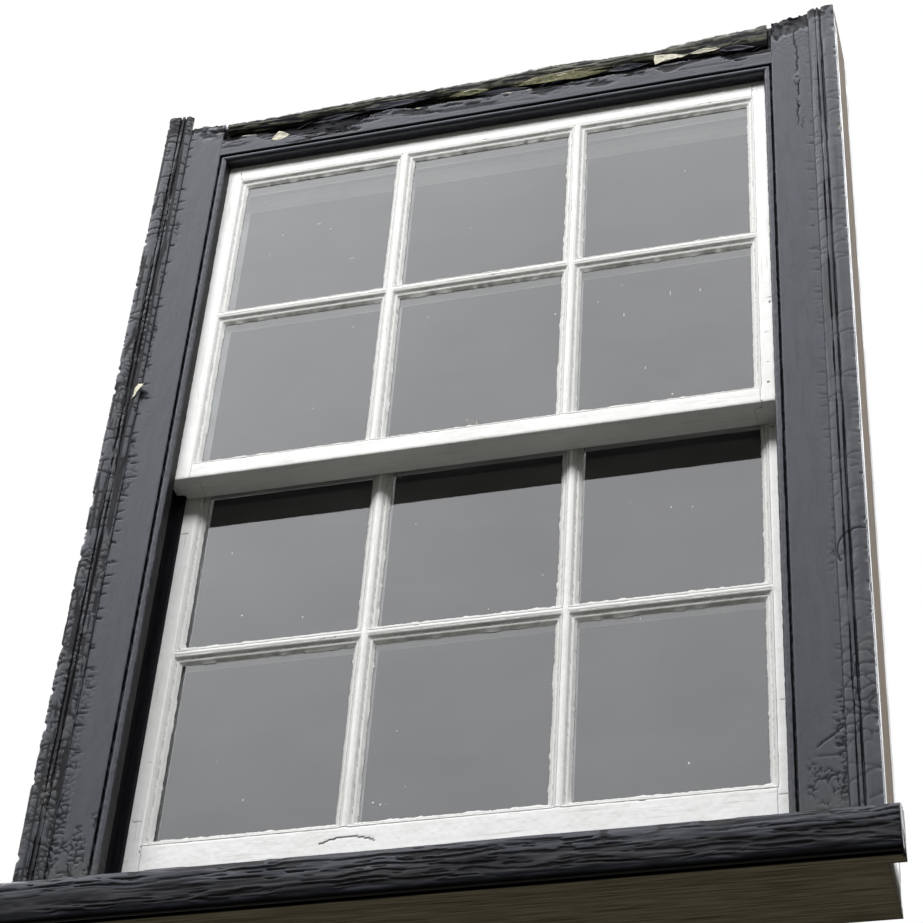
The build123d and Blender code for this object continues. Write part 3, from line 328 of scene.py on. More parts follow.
def normals_of(mesh):
    """Normals of all vertices, one row each."""
    out = np.zeros(len(mesh.vertices) * 3, np.float32)
    mesh.vertex_normals.foreach_get("vector", out)
    return out.reshape(-1, 3).astype(float)


def set_points(mesh, points):
    mesh.vertices.foreach_set("co", np.asarray(points, np.float32).ravel())
    mesh.update()


def mark(mesh, name, values):
    """Stores a number for each vertex, or one for all of them, which the materials read by name."""
    layer = mesh.attributes.get(name) or mesh.attributes.new(name, "FLOAT", "POINT")
    layer.data.foreach_set("value", np.full(len(mesh.vertices), values, np.float32))


def sweep(rings, closed=False):
    """Vertices and faces of a tube through rings of points, capped at its ends or closed on itself."""
    count, around = rings.shape[:2]
    total = count * around
    start = np.arange(count if closed else count - 1)[:, None] * around
    a = start + np.arange(around)[None, :]
    b = start + (np.arange(around)[None, :] + 1) % around
    quads = np.stack([a, b, (b + around) % total, (a + around) % total], -1)
    faces = quads.reshape(-1, 4).tolist()
    if not closed:
        faces.append(list(range(around))[::-1])
        faces.append(list(range(total - around, total)))
    return rings.reshape(-1, 3), faces


def along_x(section, half, spacing):
    """Rings of one section, given as (y, z), from -half to half along X."""
    count = int(2 * half / spacing) + 1
    rings = np.empty((count, len(section), 3))
    rings[:, :, 0] = np.linspace(-half, half, count)[:, None]
    rings[:, :, 1:] = np.asarray(section)[None]
    return rings


def full_turn(sides):
    """Cosines and sines of a full turn in equal steps."""
    angles = np.arange(sides) * 2 * math.pi / sides
    return np.cos(angles), np.sin(angles)


def join_shells(shells):
    """One list of vertices and faces from several shells."""
    vertices, faces, start = [], [], 0
    for points, polygons in shells:
        vertices.append(points)
        faces += [[start + i for i in face] for face in polygons]
        start += len(points)
    return np.concatenate(vertices), faces


def walk(corners, spacing):
    """Points along a run of corners, each (x, y, step) with a step of its own to the next corner."""
    out = []
    for (x0, y0, gap), (x1, y1, _) in zip(corners[:-1], corners[1:]):
        length = math.hypot(x1 - x0, y1 - y0)
        count = max(1, math.ceil(length / (gap or spacing)))
        out += [(x0 + (x1 - x0) * i / count, y0 + (y1 - y0) * i / count) for i in range(count)]
    return out


def arc(cx, cy, radius, start, end, spacing):
    """Points of an arc, without its last one."""
    count = max(2, math.ceil(abs(end - start) * radius / spacing))
    angles = [start + (end - start) * i / count for i in range(count)]
    return [(cx + radius * math.cos(a), cy + radius * math.sin(a)) for a in angles]


def dress(piece, body, slot, *nodes):
    """A finished piece rides on its body and stands for its nodes; its slot is not used."""
    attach(piece, body)
    if nodes:
        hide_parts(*nodes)
    return piece


def cad_copy(name, nodes):
    """One closed mesh object made of copies of some nodes of the frame."""
    work = bmesh.new()
    for node in nodes:
        work.from_mesh(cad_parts[node].data)
    bmesh.ops.remove_doubles(work, verts=work.verts, dist=0.01 * MM)
    mesh = bpy.data.meshes.new(name)
    work.to_mesh(mesh)
    work.free()
    return linked(name, mesh)


def baked(source, name):
    """A plain mesh from an object with its modifiers applied; the source is removed."""
    bpy.context.view_layer.update()
    view = bpy.context.evaluated_depsgraph_get()
    mesh = bpy.data.meshes.new_from_object(source.evaluated_get(view))
    mesh.name = name
    bpy.data.objects.remove(source)
    return mesh


# Materials

def linear(code, alpha=1.0):
    """Linear colour of an sRGB hex value."""
    out = []
    for i in (0, 2, 4):
        c = int(code[i : i + 2], 16) / 255
        out.append(c / 12.92 if c <= 0.04045 else ((c + 0.055) / 1.055) ** 2.4)
    return (*out, alpha)


def per_metre(millimetres):
    """Scale of a pattern whose features have this size."""
    return 1 / (millimetres * MM)


def add(tree, kind, inputs=None, **settings):
    """Adds a node with its settings, and fills its inputs with values or with other sockets."""
    made = tree.nodes.new(kind)
    for key, value in settings.items():
        setattr(made, key, value)
    for key, value in (inputs or {}).items():
        if isinstance(value, bpy.types.NodeSocket):
            tree.links.new(value, made.inputs[key])
        else:
            made.inputs[key].default_value = value
    return made


def shade(name):
    """Linear colour of one of the fixed shades."""
    return linear(SHADES[name])


def blank(name):
    """A new material and its node tree, still empty."""
    made = bpy.data.materials.new(name)
    made.use_nodes = True
    made.node_tree.nodes.clear()
    return made, made.node_tree


def surface(made, sockets, relief=None, depth=0.0, strength=1.0):
    """Gives a material its Principled surface, with a relief of this depth in metres."""
    tree = made.node_tree
    shader = add(tree, "ShaderNodeBsdfPrincipled", sockets)
    if relief:
        raised = add(tree, "ShaderNodeBump", {"Height": relief, "Distance": depth, "Strength": strength})
        tree.links.new(raised.outputs[0], shader.inputs["Normal"])
    add(tree, "ShaderNodeOutputMaterial", {"Surface": shader.outputs[0]})
    return made


def stretched(tree, x, y, z):
    """Object coordinates in features of x by y by z millimetres."""
    place = add(tree, "ShaderNodeTexCoord")
    scale = (per_metre(x), per_metre(y), per_metre(z))
    mapping = add(tree, "ShaderNodeMapping", {"Vector": place.outputs["Object"], "Scale": scale})
    return mapping.outputs[0]


def lengthwise(tree, along, length, width):
    """Object coordinates in features that are long in one direction, in millimetres."""
    return stretched(tree, *{"x": (length, width, width), "z": (width, width, length)}[along])


def pattern(tree, vector, detail=4.0, roughness=0.55):
    """Noise whose features are one unit of the vector."""
    settings = {"Vector": vector, "Scale": 1.0, "Detail": detail, "Roughness": roughness}
    return add(tree, "ShaderNodeTexNoise", settings).outputs[0]


def ramp(tree, value, low_end, high_end, to_low=0.0, to_high=1.0):
    """A value stretched from one range to another, and held at its ends."""
    ends = {"From Min": low_end, "From Max": high_end, "To Min": to_low, "To Max": to_high}
    return add(tree, "ShaderNodeMapRange", {"Value": value, **ends}).outputs[0]


def blend_colour(tree, amount, first, second):
    """First colour where amount is 0 and second where it is 1."""
    made = add(tree, "ShaderNodeMix", {0: amount, 6: first, 7: second}, data_type="RGBA")
    return made.outputs[2]


def lay_over(tree, colour, top, value, low_end, high_end, amount=1.0):
    """The colour with another one over it, by up to amount, where value nears high_end."""
    return blend_colour(tree, ramp(tree, value, low_end, high_end, 0.0, amount), colour, top)


def join_values(tree, operation, first, second):
    """Result of a sum on two values."""
    return add(tree, "ShaderNodeMath", {0: first, 1: second}, operation=operation).outputs[0]


def weighted(tree, first, second, share):
    """Two patterns in one, the first of them with this share."""
    first = join_values(tree, "MULTIPLY", first, share)
    return join_values(tree, "ADD", first, join_values(tree, "MULTIPLY", second, 1 - share))


def attribute(tree, name):
    """The number that mark() stored under this name."""
    return add(tree, "ShaderNodeAttribute", attribute_name=name).outputs["Fac"]


def frame_paint_material(name, along):
    """Old oil gloss on softwood: it mirrors the sky softly on the flat, is dull and black in its cracks and
    in the painted shade that the crack mark also carries.
    """
    settings = bpy.context.scene.window_frame_paint
    made, tree = blank(name)
    patches = pattern(tree, lengthwise(tree, along, 60, 14), 5.0)
    grain = pattern(tree, lengthwise(tree, along, 90, 3), 4.0, 0.6)
    speckle = pattern(tree, stretched(tree, 1.6, 1.6, 1.6), 3.0)
    crack_and_shade, bare, grime = (attribute(tree, key) for key in ("crack_and_shade", "bare", "grime"))
    colour = linear(settings.face_colour)
    colour = lay_over(tree, colour, linear(settings.chalk_colour), patches, 0.42, 0.68, 0.55)
    colour = lay_over(tree, colour, shade("paint_grain"), grain, 0.48, 0.34, 0.3)
    wood = lay_over(tree, shade("grey_wood"), linear(settings.bare_colour), grain, 0.35, 0.6)
    colour = lay_over(tree, colour, wood, bare, 0.35, 0.65)
    colour = blend_colour(tree, grime, colour, shade("algae"))
    # Cracks, and the painted shade stored with them, take the crack colour
    colour = lay_over(tree, colour, linear(settings.crack_and_shade_colour), crack_and_shade, 0.15, 0.75)
    in_cracks_and_shade, on_wood = ramp(tree, crack_and_shade, 0.1, 0.6, 0, 0.45), ramp(tree, bare, 0.3, 0.7, 0, 0.45)
    dull = join_values(tree, "MAXIMUM", in_cracks_and_shade, on_wood)
    roughness = join_values(tree, "ADD", ramp(tree, patches, 0.3, 0.7, 0.2, 0.4), dull)
    sockets = {
        "Base Color": colour, "Roughness": roughness, "Specular IOR Level": 0.3, "Coat Weight": 0.1,
        "Coat Roughness": 0.2,
    }
    return surface(made, sockets, weighted(tree, grain, speckle, 0.7), 0.3 * MM, 0.5)


def reveal_material():
    """Painted shadow for the reveal: near-black paint mottled between two dark shades, with almost no shine,
    so it reads as the shade inside the reveal.
    """
    made, tree = blank("painted_shadow_reveal_paint")
    painted_reveal_shade = pattern(tree, lengthwise(tree, "z", 40, 6), 4.0)
    colour = lay_over(tree, shade("painted_reveal_shade"), shade("painted_reveal_shade_grey"), painted_reveal_shade, 0.35, 0.7)
    sockets = {"Base Color": colour, "Roughness": 0.8, "Specular IOR Level": 0.1}
    return surface(made, sockets, painted_reveal_shade, 0.3 * MM, 0.5)


def sash_paint_material(name, along, base=None):
    """Many coats of white oil paint: half-gloss, lumpy, with brush marks and fine dirt."""
    settings = bpy.context.scene.window_sash_paint
    made, tree = blank(name)
    brush = pattern(tree, lengthwise(tree, along, 70, 2.2), 3.0, 0.6)
    cloud = pattern(tree, stretched(tree, 45, 45, 45), 5.0)
    speck = pattern(tree, stretched(tree, 2.6, 2.6, 2.6), 2.0, 0.5)
    colour = base or linear(settings.colour)
    colour = lay_over(tree, colour, shade("white_grime"), cloud, 0.46, 0.75, 0.28)
    colour = lay_over(tree, colour, linear(settings.dirt_colour), brush, 0.43, 0.29, 0.34)
    colour = lay_over(tree, colour, shade("white_spot"), speck, 0.73, 0.78, 0.5)
    colour = lay_over(tree, colour, shade("white_chip"), attribute(tree, "bare"), 0.4, 0.7)
    colour = lay_over(tree, colour, shade("white_crack"), attribute(tree, "crack_and_shade"), 0.15, 0.7)
    roughness = ramp(tree, cloud, 0.3, 0.7, 0.32, 0.5)
    sockets = {"Base Color": colour, "Roughness": roughness, "Specular IOR Level": 0.25}
    return surface(made, sockets, weighted(tree, brush, speck, 0.6), 0.35 * MM, 0.6)


def pine_material():
    """Unpainted softwood gone brown inside the box: close growth lines along Z, dry and dull."""
    made, tree = blank("aged_bare_pine")
    place = lengthwise(tree, "z", 340, 9)
    rings = {"Vector": place, "Scale": 1.0, "Distortion": 5.0, "Detail": 3.0, "Detail Scale": 1.4}
    grain = add(tree, "ShaderNodeTexWave", rings, bands_direction="DIAGONAL").outputs["Fac"]
    fibre = pattern(tree, lengthwise(tree, "z", 45, 0.9), 3.0)
    stain = pattern(tree, lengthwise(tree, "z", 160, 70), 4.0)
    colour = blend_colour(tree, grain, shade("pine_early"), shade("pine_late"))
    colour = lay_over(tree, colour, shade("pine_fibre"), fibre, 0.4, 0.7, 0.35)
    colour = lay_over(tree, colour, shade("pine_stain"), stain, 0.45, 0.75, 0.5)
    return surface(made, {"Base Color": colour, "Roughness": 0.75}, fibre, 0.25 * MM, 0.6)


def iron_material():
    """Sand-cast grey iron, rusted: coarse skin with brown bloom, little shine."""
    settings = bpy.context.scene.window_metal
    made, tree = blank("sand_cast_grey_iron")
    skin = pattern(tree, stretched(tree, 1.8, 1.8, 1.8), 5.0, 0.65)
    rust = ramp(tree, pattern(tree, stretched(tree, 24, 24, 24), 5.0), 0.45, 0.62)
    sockets = {
        "Base Color": blend_colour(tree, rust, linear(settings.iron_colour), shade("rust")),
        "Metallic": ramp(tree, rust, 0, 1, 0.75, 0.1), "Roughness": ramp(tree, rust, 0, 1, 0.5, 0.85),
    }
    return surface(made, sockets, skin, 0.6 * MM, 0.8)


def brass_material():
    """Cast and filed yellow brass, tarnished brown away from the touched parts."""
    settings = bpy.context.scene.window_metal
    made, tree = blank("tarnished_cast_brass")
    file_marks = pattern(tree, lengthwise(tree, "x", 9, 0.7), 2.0)
    tarnish = ramp(tree, pattern(tree, stretched(tree, 14, 14, 14), 5.0), 0.42, 0.66)
    sockets = {
        "Base Color": blend_colour(tree, tarnish, linear(settings.brass_colour), shade("tarnish")),
        "Metallic": 1.0, "Roughness": ramp(tree, tarnish, 0, 1, 0.28, 0.55),
    }
    return surface(made, sockets, file_marks, 0.08 * MM, 0.5)


def steel_material():
    """Zinc-grey wire screws with a dull turned head."""
    settings = bpy.context.scene.window_metal
    made, tree = blank("dull_steel_screws")
    spots = pattern(tree, stretched(tree, 1.2, 1.2, 1.2), 4.0)
    colour = lay_over(tree, linear(settings.steel_colour), shade("steel_stain"), spots, 0.5, 0.7)
    roughness = ramp(tree, spots, 0.3, 0.7, 0.3, 0.6)
    return surface(made, {"Base Color": colour, "Metallic": 0.9, "Roughness": roughness})


def cord_material():
    """Braided waxed cotton, greyed by dust."""
    settings = bpy.context.scene.window_cord
    made, tree = blank("waxed_cotton_braid")
    fibre = pattern(tree, lengthwise(tree, "z", 5, 0.6), 3.0)
    dust = pattern(tree, lengthwise(tree, "z", 40, 12), 4.0)
    colour = lay_over(tree, linear(settings.colour), shade("cord_dust"), dust, 0.4, 0.7)
    colour = lay_over(tree, colour, shade("cord_gap"), fibre, 0.55, 0.35, 0.5)
    return surface(made, {"Base Color": colour, "Roughness": 0.85}, fibre, 0.3 * MM, 0.8)


def glass_material():
    """Old cylinder glass with a grey film of grime: it mirrors the sky over the dim room behind it.

    Its index is over that of real glass, so that the mirrored sky is as bright as in the photo."""
    settings = bpy.context.scene.window_glass
    made, tree = blank("grimy_cylinder_glass")
    cloud = pattern(tree, stretched(tree, 170, 170, 90), 3.0, 0.5)
    waves = pattern(tree, stretched(tree, 240, 240, 110), 1.0)
    colour = lay_over(tree, shade("glass_film"), linear(settings.colour), cloud, 0.35, 0.65)
    sockets = {"Base Color": colour, "IOR": 1.8, "Transmission Weight": 1.0, "Roughness": 0.0}
    return surface(made, sockets, waves, 1 * MM, 0.08)


def flake_material(name, outside, worn):
    """Old oil paint in a curled flake: chalky, dull, dirty at its edges."""
    made, tree = blank(name)
    dirt = pattern(tree, stretched(tree, 5, 5, 3), 4.0)
    colour = lay_over(tree, shade(outside), shade(worn), dirt, 0.4, 0.72)
    return surface(made, {"Base Color": colour, "Roughness": 0.7}, dirt, 0.4 * MM, 0.6)


MATERIALS = {}


def finish(name):
    """The material of that name, made when it is first asked for."""
    makers = {
        "frame_z": lambda: frame_paint_material("weathered_gloss_oil_paint_upright", "z"),
        "frame_x": lambda: frame_paint_material("weathered_gloss_oil_paint_level", "x"),
        "white_z": lambda: sash_paint_material("white_oil_paint_upright", "z"),
        "white_x": lambda: sash_paint_material("white_oil_paint_level", "x"),
        "putty": lambda: sash_paint_material("painted_linseed_putty", "x", shade("putty")),
        "cream": lambda: flake_material("cream_undercoat_flake", "cream", "cream_worn"),
        "olive": lambda: flake_material("green_stained_flake", "olive", "olive_worn"),
        "reveal": reveal_material,
        "pine": pine_material,
        "iron": iron_material,
        "brass": brass_material,
        "steel": steel_material,
        "cord": cord_material,
        "glass": glass_material,
    }
    if name not in MATERIALS:
        MATERIALS[name] = makers[name]()
    return MATERIALS[name]


def coat(name, *nodes):
    """Gives nodes of the frame their finish."""
    for node in nodes:
        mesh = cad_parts[node].data
        mesh.materials.clear()
        mesh.materials.append(finish(name))


# Stage

CAMERA_RIGHT = (0.96225, 0.26539, 0.06036)
LIGHT_AIM = (0, 0, 0.75)
FLOOR_HALF = 6.0
FLOOR_LEVEL = 0.3 * MM  # off the plane of the sill's underside, so that the two don't fight


class SASHWINDOW_OT_stage(bpy.types.Operator):
    """Sets the floor, the soft light and the camera"""

    bl_idname = "sash_window.stage"
    bl_label = "Stage"

    def execute(self, context):
        settings = context.scene.window_stage
        context.scene.view_settings.view_transform = "Standard"
        make_camera(context.scene, settings)
        across, up = math.cos(settings.key_elevation), math.sin(settings.key_elevation)
        area_lamp("key", (5.0, 1.6), settings.key_power, (-0.12, -across, up), 4.6)
        area_lamp("room", (3.0, 2.0), settings.room_power, (-0.35, 1.0, 0.4), 4.0)
        make_sky(context.scene, settings)
        make_floor(settings)
        return {"FINISHED"}


def make_camera(scene, settings):
    """Camera at the photographer's place, with its right-hand side towards CAMERA_RIGHT."""
    data = bpy.data.cameras.new("camera")
    data.lens = settings.lens
    data.sensor_width = 36
    data.clip_start, data.clip_end = 0.05, 100
    camera = linked("camera", data)
    right = Vector(CAMERA_RIGHT).normalized()
    back = -Vector(settings.camera_axis).normalized()
    up = back.cross(right).normalized()
    right = up.cross(back)
    turn = Matrix((right, up, back)).transposed().to_4x4()
    camera.matrix_world = Matrix.Translation(settings.camera_place) @ turn
    scene.camera = camera


def area_lamp(name, size, power, way, distance):
    """Soft lamp that shines at the window and shows neither in its gloss nor through its glass."""
    data = bpy.data.lights.new(name, "AREA")
    data.shape = "RECTANGLE"
    data.size, data.size_y = size
    data.energy = power
    lamp = linked(name, data)
    way = Vector(way).normalized()
    lamp.location = Vector(LIGHT_AIM) + way * distance
    lamp.rotation_mode = "QUATERNION"
    lamp.rotation_quaternion = way.to_track_quat("Z", "Y")
    lamp.visible_glossy = False
    lamp.visible_transmission = False


def make_sky(scene, settings):
    """Sky of soft fill light that is bright to mirrors, dim through the glass and white behind it all."""
    world = bpy.data.worlds.new("sky")
    scene.world = world
    world.use_nodes = True
    tree = world.node_tree
    tree.nodes.clear()
    way = add(tree, "ShaderNodeTexCoord").outputs["Generated"]
    axes = add(tree, "ShaderNodeSeparateXYZ", {"Vector": way}).outputs
    ray = add(tree, "ShaderNodeLightPath").outputs
    fill = lay_over(tree, shade("fill_low"), shade("fill_high"), axes[2], -0.25, 0.9)
    fill = lay_over(tree, fill, shade("fill_under"), axes[2], -0.3, -0.5)
    clouds = add(tree, "ShaderNodeTexNoise", {"Vector": way, "Scale": 3.2, "Detail": 3.0}).outputs[0]
    lifted = join_values(tree, "ADD", axes[2], ramp(tree, clouds, 0.3, 0.7, -0.10, 0.10))
    mirrored = lay_over(tree, shade("mirrored_ground"), shade("mirrored_sky"), lifted, -0.05, 0.85)
    colour = blend_colour(tree, ray["Is Glossy Ray"], fill, mirrored)
    through = lay_over(tree, shade("white"), linear(settings.room_colour), axes[1], -0.1, 0.1)
    colour = blend_colour(tree, ray["Is Transmission Ray"], colour, through)
    colour = blend_colour(tree, ray["Is Camera Ray"], colour, shade("white"))
    # A ray through glass counts as glossy too, so what a mirror sees is the rest of those rays
    mirror = join_values(tree, "SUBTRACT", ray["Is Glossy Ray"], ray["Is Transmission Ray"])
    strength = ramp(tree, mirror, 0, 1, 1.0, settings.sky_shine)
    sky = add(tree, "ShaderNodeBackground", {"Color": colour, "Strength": strength})
    add(tree, "ShaderNodeOutputWorld", {"Surface": sky.outputs[0]})


def make_floor(settings):
    """Pale floor under the sill, dark to bounced light; from below it is open and hides nothing."""
    made, tree = blank("matt_pale_floor")
    ray = add(tree, "ShaderNodeLightPath").outputs
    seen = join_values(tree, "MAXIMUM", ray["Is Camera Ray"], ray["Is Transmission Ray"])
    colour = blend_colour(tree, seen, shade("floor_bounce"), linear(settings.floor_colour))
    top = add(tree, "ShaderNodeBsdfPrincipled", {"Base Color": colour, "Roughness": 0.9}).outputs[0]
    open_side = add(tree, "ShaderNodeBsdfTransparent").outputs[0]
    below = add(tree, "ShaderNodeNewGeometry").outputs["Backfacing"]
    mix = add(tree, "ShaderNodeMixShader", {"Fac": below, 1: top, 2: open_side}).outputs[0]
    add(tree, "ShaderNodeOutputMaterial", {"Surface": mix})
    mesh = bpy.data.meshes.new("floor")
    corners = [(x * FLOOR_HALF, y * FLOOR_HALF, FLOOR_LEVEL) for x, y in SQUARE]
    mesh.from_pydata(corners, [], [(0, 1, 2, 3)])
    mesh.materials.append(made)
    linked("floor", mesh)


# Weathering of the dark boards

def crazing(across, along, size, seed, stretch=1.0):
    """Cracks between the blocks of crazed paint, and a height for each block."""
    bent_across = across + 0.35 * size * noise(across / size, along / size, 0, seed + 5)
    bent_along = along + 0.35 * size * noise(across / size, along / size, 0, seed + 9)
    gap, own = cells(bent_across / (size * stretch), bent_along / size, seed)
    return 1 - step(0.05, 0.22, gap), own


def splits(along, across, spacing, width, seed):
    """Long cracks across a board at uneven places, wavering and broken."""
    waver = along + 0.35 * spacing * noise(across / (3 * spacing), along / (6 * spacing), 0, seed)
    count = waver / spacing
    index = np.floor(count).astype(np.int64)
    place = 0.25 + 0.5 * lattice(index, index * 0, index * 0, seed + 3)
    chosen = lattice(index, index * 0, index * 0 + 1, seed + 3) > 0.35
    away = np.abs(count - index - place) * spacing
    broken = noise(across / 9e-3, index * 3.7, 0, seed + 7) > -0.35
    return (1 - step(width * 0.4, width, away)) * chosen * broken


def weather(piece, relief, marks):
    """Moves each vertex along its normal by a relief, and stores the marks for the paint."""
    mesh = piece.data
    set_points(mesh, points_of(mesh) + normals_of(mesh) * relief[:, None])
    for name, values in marks.items():
        mark(mesh, name, values)


def board_rings(profile, top, spacing):
    """Rings of an upright board from the sloping sill up to a height for each point of its section."""
    profile, top = np.asarray(profile), np.asarray(top)
    foot = sill_top(profile[:, 1])
    count = int(np.ceil((top.max() - foot.min()) / spacing)) + 1
    t = np.linspace(0, 1, count)[:, None]
    rings = np.empty((count, len(profile), 3))
    rings[:, :, :2] = profile[None]
    rings[:, :, 2] = foot[None, :] + t * (top - foot)[None, :]
    return rings


def sill_top(y):
    """Height of the sloping top of the sill, which is level behind the linings."""
    return high("sill").z + (np.minimum(y, BOX_BACK) - BOX_BACK) * math.tan(SILL_SLOPE)


# Along the head, from -1 at its left end to 1 at its right end: how far the rot has eaten down, in
# millimetres, and how much of the intact face is left under the torn edge

ROTTED_TOP = [
    (-1.00, 26), (-0.96, 24), (-0.88, 27), (-0.68, 27), (-0.52, 24), (-0.36, 22), (-0.18, 26),
    (-0.01, 25), (0.10, 20), (0.18, 17), (0.38, 22), (0.51, 25), (0.67, 16), (0.78, 13),
    (0.87, 9), (0.94, 3), (1.00, 0),
]
TORN_EDGE = [
    (-1.00, 1.08), (-0.83, 1.06), (-0.72, 0.66), (-0.65, 0.70), (-0.53, 0.50), (-0.42, 1.08),
    (-0.33, 1.17), (-0.28, 0.98), (-0.12, 1.02), (0.08, 1.02), (0.24, 0.94), (0.43, 1.00),
    (0.51, 0.90), (0.59, 1.03), (0.71, 1.08), (0.81, 1.06), (0.88, 0.74), (0.94, 0.90),
    (1.00, 0.96),
]


def rotted_top(x):
    """Height of the rotted top of the linings, with a splintered edge."""
    places = np.array(ROTTED_TOP)
    drop = np.interp(x / MOULDING_INNER, places[:, 0], places[:, 1]) * MM
    edge = 2.2 * MM * rough(x / 9e-3, 0, 0, 31, 4)
    return np.minimum(FRAME_TOP - drop + edge, FRAME_TOP)


def torn_edge(x, layer):
    """Height of the torn edge of one of the three layers of the head lining's face."""
    settings = bpy.context.scene.window_head
    places = np.array(TORN_EDGE)
    share = np.interp(x / HEAD_HALF, places[:, 0], places[:, 1])
    teeth = rough(x / 6e-3, layer * 3.3, 0, 41 + layer, 4) * (1.2 + layer * 0.8) * MM
    lift = layer * 2.6 * MM * (1 + noise(x / 21e-3, 0, 0, 51 + layer))
    return HEAD_EDGE + share * settings.seat_height + teeth + lift


def bead_section(quirk_middle):
    """Section of the quirked bead: distances from the edge of the opening, and depths."""
    floor = LINING_FRONT + BEAD_RADIUS
    points = [(0, LINING_BACK)]
    for a in np.linspace(0, math.pi, 15):
        points.append((BEAD_RADIUS * (1 - math.cos(a)), floor - BEAD_RADIUS * math.sin(a)))
    return points + [(quirk_middle, floor + 1.5 * MM), (BEAD_WIDTH, floor), (BEAD_WIDTH, LINING_BACK)]


def jamb_lining(name, side, spacing):
    """Outer lining of a jamb: its bead, mitred at the head, and its flat up to the rotted top."""
    flat = walk(
        [
            (side * HEAD_HALF, LINING_BACK, 6 * MM),
            (side * HEAD_HALF, LINING_FRONT, 1.8 * MM),
            (side * MOULDING_INNER, LINING_FRONT, 6 * MM),
            (side * FRAME_HALF, LINING_FRONT, 20 * MM),
            (side * FRAME_HALF, LINING_BACK, 20 * MM),
            (side * HEAD_HALF, LINING_BACK, 6 * MM),
        ],
        spacing,
    )
    section = bead_section((2 * BEAD_RADIUS + BEAD_WIDTH) / 2)
    bead = [(side * (OPENING_HALF + away), y) for away, y in section]
    flat_rings = board_rings(flat, rotted_top(np.array(flat)[:, 0]), spacing)
    bead_rings = board_rings(bead, [HEAD_EDGE + away for away, _ in section], spacing)
    vertices, faces = join_shells([sweep(flat_rings), sweep(bead_rings)])
    return make_object(f"painted_outer_lining_{name}", vertices, faces, finish("frame_z"))


def crazed_area(x, z, side, near, from_moulding, seed):
    """Share of crazed paint on a jamb: by the moulding, at the foot and in one corner of each jamb."""
    spots = noise(x / 0.03, z / 0.12, 0, seed + 2)
    if side < 0:
        foot = 0.6 * step(0.24, 0.1, z + 0.05 * noise(z / 0.03, x / 0.02, 0, seed))
        patches = step(0.35, 0.55, spots)
        corner_x, corner_z = LEFT_CORNER
        corner = step(0.032, 0.02, np.abs(x - corner_x)) * step(0.06, 0.035, np.abs(z - corner_z))
        corner *= step(-0.2, 0.2, noise(x / 0.012, z / 0.02, 0, seed + 16))
    else:
        foot = step(0.26, 0.2, z) * step(0.06, 0.12, z) * step(0.02, -0.01, from_moulding - 0.02)
        patches = step(0.55, 0.7, spots)
        corner = 0.3 * step(1.35, 1.39, z + 0.012 * noise(x / 0.01, z / 0.02, 0, seed + 17))
    return np.clip(foot * near * 1.4 + 0.55 * patches * near + corner, 0, 1)


def bead_quirk_and_side_shade(x, y, z, seed):
    """Painted shade in the quirk behind the bead, broken where the quirk is filled, and on the bead's inner
    side, which faces the dark reveal.
    """
    from_edge, deep = np.abs(x) - OPENING_HALF, y - LINING_FRONT
    quirk = step(8.6 * MM, 9.8 * MM, from_edge) * step(13.4 * MM, 12.6 * MM, from_edge)
    quirk *= step(0.2 * MM, 1.2 * MM, deep) * step(9 * MM, 6 * MM, deep)
    dots = step(-0.4, 0.0, noise(z / 7e-3, x / 3e-3, 0, seed + 4) + 0.5 * noise(z / 40e-3, 0, 0, seed + 6))
    # Painted shade on the inner side of the bead, towards the reveal
    inner = step(1.2 * MM, 0.4 * MM, from_edge) * step(3.5 * MM, 6 * MM, deep)
    return np.maximum(quirk * (0.2 + 0.8 * dots), inner)


def right_damage(x, z, block_size, seed):
    """The long seam high on the right jamb, and the crazed corner and the tear at its foot."""
    jagged = RIGHT_SEAM + 0.005 * rough(z / 0.022, 0, 0, seed + 18, 3)
    seam = step(1.8 * MM, 0.7 * MM, np.abs(x - jagged)) * step(1.19, 1.23, z)
    small, _ = crazing(x, z, 1.1 * block_size, seed + 19, 0.7)
    small *= step(-0.45, 0.1, noise(x / 0.014, z / 0.02, 0, seed + 24))
    sloped = z + 0.9 * (x - HEAD_HALF) + 0.02 * noise(x / 0.02, z / 0.03, 0, seed + 20)
    corner = step(0.185, 0.14, sloped)
    tear_x, tear_foot = RIGHT_TEAR
    across = (x > tear_x) * (x < MOULDING_INNER)
    tear = tear_foot + (x - tear_x) * RIGHT_TEAR_SLOPE + 1.8 * MM * rough(x / 7e-3, 0, 0, seed + 22)
    under = tear_foot - 12 * MM + 2 * MM * rough(x / 0.012, 0, 0, seed + 23)
    torn = step(1.9 * MM, 0.8 * MM, np.abs(z - tear)) * across
    torn = np.maximum(torn, 0.6 * step(1.4 * MM, 0.6 * MM, np.abs(z - under)) * across)
    return largest(seam, small * corner, torn)


def blackened_top(x, z, seed):
    """Rot that blackens the top of the right jamb down to a ragged line, with fibres along it."""
    ragged = z - 0.3 * (x - HEAD_HALF) + 0.014 * rough(x / 0.009, z / 0.03, 0, seed + 17, 3)
    fibres = step(-0.25, 0.25, rough(x / 4e-3, z / 18e-3, 0, seed + 25, 3))
    return step(1.402, 1.412, ragged) * (0.45 + 0.55 * fibres)


